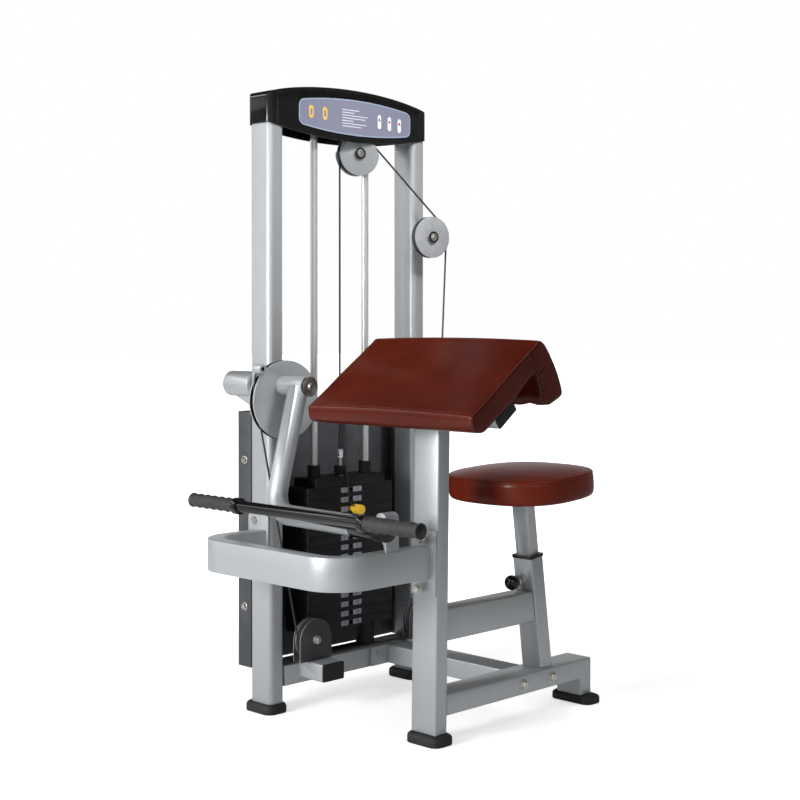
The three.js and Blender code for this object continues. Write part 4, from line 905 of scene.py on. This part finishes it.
def addGathers():
    for end, (y, side) in padEnds.items():
        line = [at(pad["front"] + x * pad["reach"], y, pad["low"] + z * pad["rise"])
                for x, z in endSeam["line"]]
        seam = tube(f"pad_{end}_seam", openSpline(line, endSeam["each"]), endSeam["radius"],
                    endSeam["sides"])
        newPiece(seam, "seam", "frame", smooth=60)
        for number, (start, stop) in enumerate(gather["folds"]):
            rings = gatherRings(padPoint(start), padPoint(stop), number, y, side)
            mesh = loft(f"pad_{end}_gather_{number}", rings)
            newPiece(mesh, "vinyl", "frame", smooth=70)


# Sewn line along the top of the front face, which catches the light.
frontSeam = {"radius": 1.7, "sides": 8, "reach": 12, "sink": 0.7, "trim": 6}


def addPadSeam():
    front = [i for i in range(len(padOutline))
             if padOutline[i].x < pad["front"] + frontSeam["reach"]]
    index = max(front, key=lambda i: padOutward[i].z - padOutward[i].x)
    place, out = padOutline[index], padOutward[index]
    points = []
    for distance, inset in padStations:
        lift = crownLift(out, distance) - inset - frontSeam["sink"]
        points.append(offPad(place, out, lift, pad["near"] + distance))
    trim = frontSeam["trim"]
    mesh = tube("pad_front_seam", points[trim:-trim], frontSeam["radius"], frontSeam["sides"])
    newPiece(mesh, "vinyl", "frame", smooth=60)


addPadPiping()
addGathers()
addPadSeam()


# Seat cushion: rings of a rounded outline, wider towards the pad than at the back. The side is
# pairs of height and inset, with a seam's dip below the top edge, and the crown is pairs of
# rise and scale.
seat = {"halfLong": 165, "halfFront": 183, "halfBack": 168, "base": 2.8, "thick": 61,
        "crownRise": 13, "power": 2.5, "steps": 120, "tilt": 4.4,
        "side": [(0, 14), (0.3, 8), (2, 4.5), (6, 2), (12, 0.6), (20, 0), (30, 0), (40, 0.2),
                 (47, 0.6), (51, 1.2), (53, 2.2), (54, 2.6), (55, 1.8), (56.5, 1.2), (58, 1.8),
                 (59.5, 3.6), (60.5, 6.4), (61.2, 10)],
        "crown": [(0.1, 0.9), (0.26, 0.83), (0.44, 0.73), (0.62, 0.61), (0.78, 0.47),
                  (0.9, 0.32), (0.98, 0.15)]}
seatOrigin = sleeveFoot + sleeveUp * sleeve["seat"] * mm
seatTurn = Matrix.Rotation(math.radians(seat["tilt"]) - sleeveLean, 3, "Y")


def seatRing(scale, z, inset=0.0):
    ring = []
    for c, s in circle(seat["steps"]):
        size = (abs(c) ** seat["power"] + abs(s) ** seat["power"]) ** (-1 / seat["power"])
        x = seat["halfLong"] * size * c
        half = seat["halfFront"] + (seat["halfBack"] - seat["halfFront"]) * (
            x / seat["halfLong"] + 1) / 2
        y = half * size * s
        shrink = scale * (1 - inset / math.hypot(x, y))
        ring.append(seatOrigin + seatTurn @ (Vector((shrink * x, shrink * y, seat["base"] + z))
                                             * mm))
    return ring


def seatPiece():
    rings = [seatRing(1, z, inset) for z, inset in seat["side"]]
    rings += [seatRing(scale, seat["thick"] + seat["crownRise"] * rise)
              for rise, scale in seat["crown"]]
    piece = newPiece(loft("seat_cover", rings), "seatVinyl", "seat", smooth=60)
    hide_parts("seat_cushion")


seatPiece()
print("soft pieces made")


# Cable: the wrap round the drum on the cam, and the drop to the stack.
drum = {"radius": 86, "y": -12.5, "start": 158.6, "end": 193.2, "steps": 48}
cable = {"x": 278.6, "y": 40, "low": 655.3, "high": 1445.7, "radius": 2.5, "travel": 165.1,
         "steps": 60}


def drumPoint(share):
    angle = math.radians(drum["start"] + (drum["end"] - drum["start"]) * share)
    return at(pivot["x"] + drum["radius"] * math.cos(angle), drum["y"],
              pivot["z"] + drum["radius"] * math.sin(angle))


def addCables():
    points = [drumPoint(step / drum["steps"]) for step in range(drum["steps"] + 1)]
    mesh = tube("cam_cable_wrap", points, cable["radius"])
    wrap = newPiece(mesh, "cable", smooth=60)
    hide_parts("cam_cable")
    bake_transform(wrap)
    low = at(cable["x"], cable["y"], cable["low"])
    high = at(cable["x"], cable["y"], cable["high"])
    points = [low.lerp(high, step / cable["steps"]) for step in range(cable["steps"] + 1)]
    mesh = tube("stack_cable_drop", points, cable["radius"])
    drop = newPiece(mesh, "cable", "frame", smooth=60)
    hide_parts("stack_cable")
    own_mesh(drop)


def addLanyard():
    path = openSpline([at(*point) for point in lanyard["route"]])
    mesh = tube("selector_lanyard", path, lanyard["radius"], lanyard["sides"])
    cord = newPiece(mesh, "rubber", smooth=60)
    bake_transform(cord)
    eye = turned("lanyard_eye", lanyard["eye"], at(*lanyard["eyePlace"]), upward,
                 lanyard["eyeSides"])
    newPiece(eye, "zinc", "lifted_stack", smooth=40)


addCables()
addLanyard()
print("cables made")


# Labels beside the selector holes: the plate's number on the left, its weight on the right.
# Each side is the middle of the label and half its width.
label = {"left": (254, 13), "right": (300, 15.5), "tall": 13.5, "thick": 0.4, "front": -5,
         "bottom": 185, "pitch": 25.2, "unit": 5, "text": 10, "ink": 0.15, "inkThick": 0.1}


def flatCard(name, centre, halfWide, halfTall, thick, look, body, corner=1.5, steps=3):
    ring = roundedRing(halfWide, halfTall, corner, steps)
    rings = [[centre + Vector((x, -depth, z)) * mm for x, z in ring] for depth in (0, thick)]
    newPiece(loft(name, rings), look, body)


def addNumber(name, number, centre, body):
    curve = bpy.data.curves.new(name, "FONT")
    curve.body = str(number)
    curve.size = label["text"] * mm
    curve.align_x = "CENTER"
    curve.align_y = "CENTER"
    curve.extrude = label["inkThick"] * mm
    text = newObject(name, curve)
    text.location = centre
    text.rotation_euler = (math.pi / 2, 0, 0)
    bpy.context.view_layer.update()
    mesh = bpy.data.meshes.new_from_object(text)
    mesh.name = name
    mesh.transform(text.matrix_world)
    bpy.data.objects.remove(text)
    newPiece(mesh, "ink", body)


def addLabels():
    ink = Vector((0, -label["thick"] - label["ink"], 0)) * mm
    for index, plate in enumerate(plateNames, 1):
        z = label["bottom"] + (len(plateNames) - index + 0.5) * label["pitch"]
        for side, number in (("left", index), ("right", index * label["unit"])):
            x, half = label[side]
            place = at(x, label["front"], z)
            flatCard(f"label_{side}_{index:02d}", place, half, label["tall"] / 2,
                     label["thick"], "label", bodyOf[plate])
            addNumber(f"number_{side}_{index:02d}", number, place + ink, bodyOf[plate])


# Placard: a slate field with a pale border, white rules and a few coloured marks.
card = {"left": 94, "right": 501, "endLow": 1504, "endHigh": 1567, "midLow": 1489,
        "midHigh": 1583, "middle": 1536, "round": 16, "stations": 72, "border": 3.2,
        "borderFront": -5.8, "borderThick": 1.2, "front": -6.1, "thick": 0.4, "print": 0.15}
rules = {"left": 245, "top": 19, "pitch": 7.2, "half": 0.9, "corner": 0.5,
         "long": (62, 44, 92, 84, 40, 88, 70)}

# Marks: name, how many, the first one's place from the card's middle, the step to the next,
# and two layers, each with its name's ending, look, rise, half size, corner and thickness.
marks = [
    ("block", 2, (136, 2), (48, 0), (("", "amber", 0, (8, 17), 7.9, 0.15),
                                     ("_core", "slate", 0, (3.4, 9), 3.3, 0.1))),
    ("tile", 3, (382, -2), (38, -2), (("", "white", 0, (6.5, 19), 6.4, 0.15),
                                      ("_core", "red", 5, (4, 4), 3.9, 0.1))),
]


def cardOutline(inset):
    left, right = card["left"] + inset, card["right"] - inset
    corner = card["round"] - inset
    lower, upper = [], []
    for step in range(card["stations"] + 1):
        ease = (1 - math.cos(math.pi * step / card["stations"])) / 2
        x = left + (right - left) * ease
        share = (x - card["left"]) / (card["right"] - card["left"])
        arch = 4 * share * (1 - share)
        reach = max(0, corner - min(x - left, right - x))
        trim = inset + corner - math.sqrt(max(0, corner ** 2 - reach ** 2))
        lower.append((x, card["endLow"] + (card["midLow"] - card["endLow"]) * arch + trim))
        upper.append((x, card["endHigh"] + (card["midHigh"] - card["endHigh"]) * arch - trim))
    return lower + upper[::-1]


def addCard(name, inset, front, thick, look):
    rings = [[at(x, front + depth, z) for x, z in cardOutline(inset)] for depth in (thick, 0)]
    return newPiece(loft(name, rings), look, "frame", smooth=30)


def addPlacard():
    border = addCard("placard_border", 0, card["borderFront"], card["borderThick"], "border")
    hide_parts("placard")
    addCard("placard_field", card["border"], card["front"], card["thick"], "slate")
    for row, long in enumerate(rules["long"]):
        z = card["middle"] + rules["top"] - rules["pitch"] * row
        flatCard(f"placard_rule_{row}", at(rules["left"] + long / 2, card["front"], z), long / 2,
                 rules["half"], card["print"], "white", "frame", rules["corner"])
    for name, count, (x, z), (stepX, stepZ), layers in marks:
        for index in range(count):
            for level, (end, look, rise, half, corner, thick) in enumerate(layers):
                place = at(x + stepX * index, card["front"] - card["print"] * level,
                           card["middle"] + z + rise + stepZ * index)
                flatCard(f"placard_{name}{end}_{index}", place, *half, thick, look, "frame",
                         corner)


addLabels()
addPlacard()
print("labels made")


# Floor: pale, matt, and white where the camera sees it away from the machine's shadow.
floorLook = {"span": 30, "colour": 0.86, "roughness": 0.9, "specular": 0.1,
             "glow": (0.9, 3.0, 0.55, 1.2)}

# World: even light on the object, and a studio's walls for gloss to show. Each wall fades
# along one axis, from a start to an end and from one strength to another.
ambient = 0.26
stripLight = (0.4, 0.43, 0.5, 0.54)
walls = {"base": ("X", (0.2, -0.15, 0.24, 0.5)), "left": ("X", (0, -0.3, 0, 5)),
         "behind": ("Y", (0.3, 0.7, 0, 0.55)), "low": ("Z", (0.15, 0.35, 1, 0)),
         "ceiling": ("Z", (0.25, 0.45, 1, 0.15))}


def fade(value, ends):
    names = ("From Min", "From Max", "To Min", "To Max")
    return {"Value": value, **dict(zip(names, ends))}


def makeFloor():
    span = floorLook["span"]
    mesh = bpy.data.meshes.new("floor")
    mesh.from_pydata([(-span, -span, 0), (span, -span, 0), (span, span, 0), (-span, span, 0)],
                     [], [(0, 1, 2, 3)])
    floor = newObject("floor", mesh)
    material, tree, shader, place = startMaterial("studio_floor", {
        "Base Color": [floorLook["colour"]] * 3 + [1], "Roughness": floorLook["roughness"],
        "Specular IOR Level": floorLook["specular"]})
    away = addNode(tree, "VectorMath", {"operation": "LENGTH"}, {"Vector": place})
    spread = addNode(tree, "MapRange", inputs=fade(away.outputs["Value"], floorLook["glow"]))
    glow = addNode(tree, "Emission", inputs={"Strength": spread.outputs["Result"],
                                             "Color": (1, 1, 1, 1)})
    bright = addNode(tree, "AddShader", inputs={0: shader.outputs["BSDF"],
                                                1: glow.outputs["Emission"]})
    path = addNode(tree, "LightPath")
    seen = addNode(tree, "MixShader", inputs={
        "Fac": path.outputs["Is Camera Ray"], 1: shader.outputs["BSDF"],
        2: bright.outputs["Shader"]})
    tree.links.new(seen.outputs["Shader"], tree.nodes["Material Output"].inputs["Surface"])
    mesh.materials.append(material)


def makeWorld():
    world = bpy.data.worlds.new("studio")
    bpy.context.scene.world = world
    world.use_nodes = True
    tree = world.node_tree
    background = tree.nodes["Background"]
    background.inputs["Color"].default_value = (1, 1, 1, 1)
    toward = addNode(tree, "TexCoord").outputs["Generated"]
    axes = addNode(tree, "SeparateXYZ", inputs={"Vector": toward}).outputs
    wall = {name: addNode(tree, "MapRange", inputs=fade(axes[axis], ends)).outputs["Result"]
            for name, (axis, ends) in walls.items()}
    # One long strip light lies level on the left, between these heights.
    strip = addNode(tree, "ValToRGB", inputs={"Fac": axes["Z"]})
    stops = strip.color_ramp.elements
    stops[0].position, stops[1].position = stripLight[0], stripLight[3]
    stops[0].color = stops[1].color = (0, 0, 0, 1)
    for height in stripLight[1:3]:
        stops.new(height).color = (1, 1, 1, 1)
    room = addNode(tree, "Math", {"operation": "MULTIPLY"}, {
        0: wall["base"], 1: wall["ceiling"]})
    horizon = addNode(tree, "Math", {"operation": "MULTIPLY_ADD"}, {
        0: wall["behind"], 1: wall["low"], 2: room.outputs["Value"]})
    gloss = addNode(tree, "Math", {"operation": "MULTIPLY_ADD"}, {
        0: strip.outputs["Color"], 1: wall["left"], 2: horizon.outputs["Value"]})
    path = addNode(tree, "LightPath").outputs
    shade = addNode(tree, "Mix", inputs={
        "Factor": path["Is Glossy Ray"], "A": ambient, "B": gloss.outputs["Value"]})
    seen = addNode(tree, "Math", {"operation": "MAXIMUM"}, {
        0: path["Is Camera Ray"], 1: path["Is Transmission Ray"]})
    final = addNode(tree, "Mix", inputs={
        "Factor": seen.outputs["Value"], "A": shade.outputs["Result"], "B": 1.0})
    tree.links.new(final.outputs["Result"], background.inputs["Strength"])


# Lamps in metres: kind, place, target, size or cone in degrees, power, and whether gloss
# shows it.
lamps = {
    "key": ("AREA", (-3.3, 0.36, 1.45), (0, 0.1, 0.8), 1.1, 104, True),
    "fill": ("AREA", (1.4, -3.4, 1.6), (0, 0, 0.8), 2.0, 4, False),
    "top": ("AREA", (0.5, -1.3, 3.4), (0, 0, 0.8), 1.6, 20, True),
    "back": ("AREA", (1.6, 2.6, 2.4), (0, 0, 0.8), 2.0, 24, False),
    "tower": ("SPOT", (0.2, -1.6, 3.0), (0.09, 0.33, 1.26), 26, 330, False),
    "seat": ("SPOT", (0.42, -0.5, 2.7), (0.33, -0.37, 0.6), 9, 130, False),
}
spot = {"blend": 0.45, "soft": 0.3}


def makeLamps():
    for name, (kind, place, target, size, power, shown) in lamps.items():
        data = bpy.data.lights.new(name, kind)
        if kind == "AREA":
            data.size = size
        else:
            data.spot_size = math.radians(size)
            data.spot_blend = spot["blend"]
            data.shadow_soft_size = spot["soft"]
        data.energy = power
        lamp = newObject(name, data)
        lamp.location = place
        lamp.rotation_euler = (Vector(target) - Vector(place)).to_track_quat("-Z", "Y").to_euler()
        lamp.visible_glossy = shown


makeFloor()
makeWorld()
makeLamps()
bpy.context.scene.view_settings.view_transform = "Standard"
print("stage made")
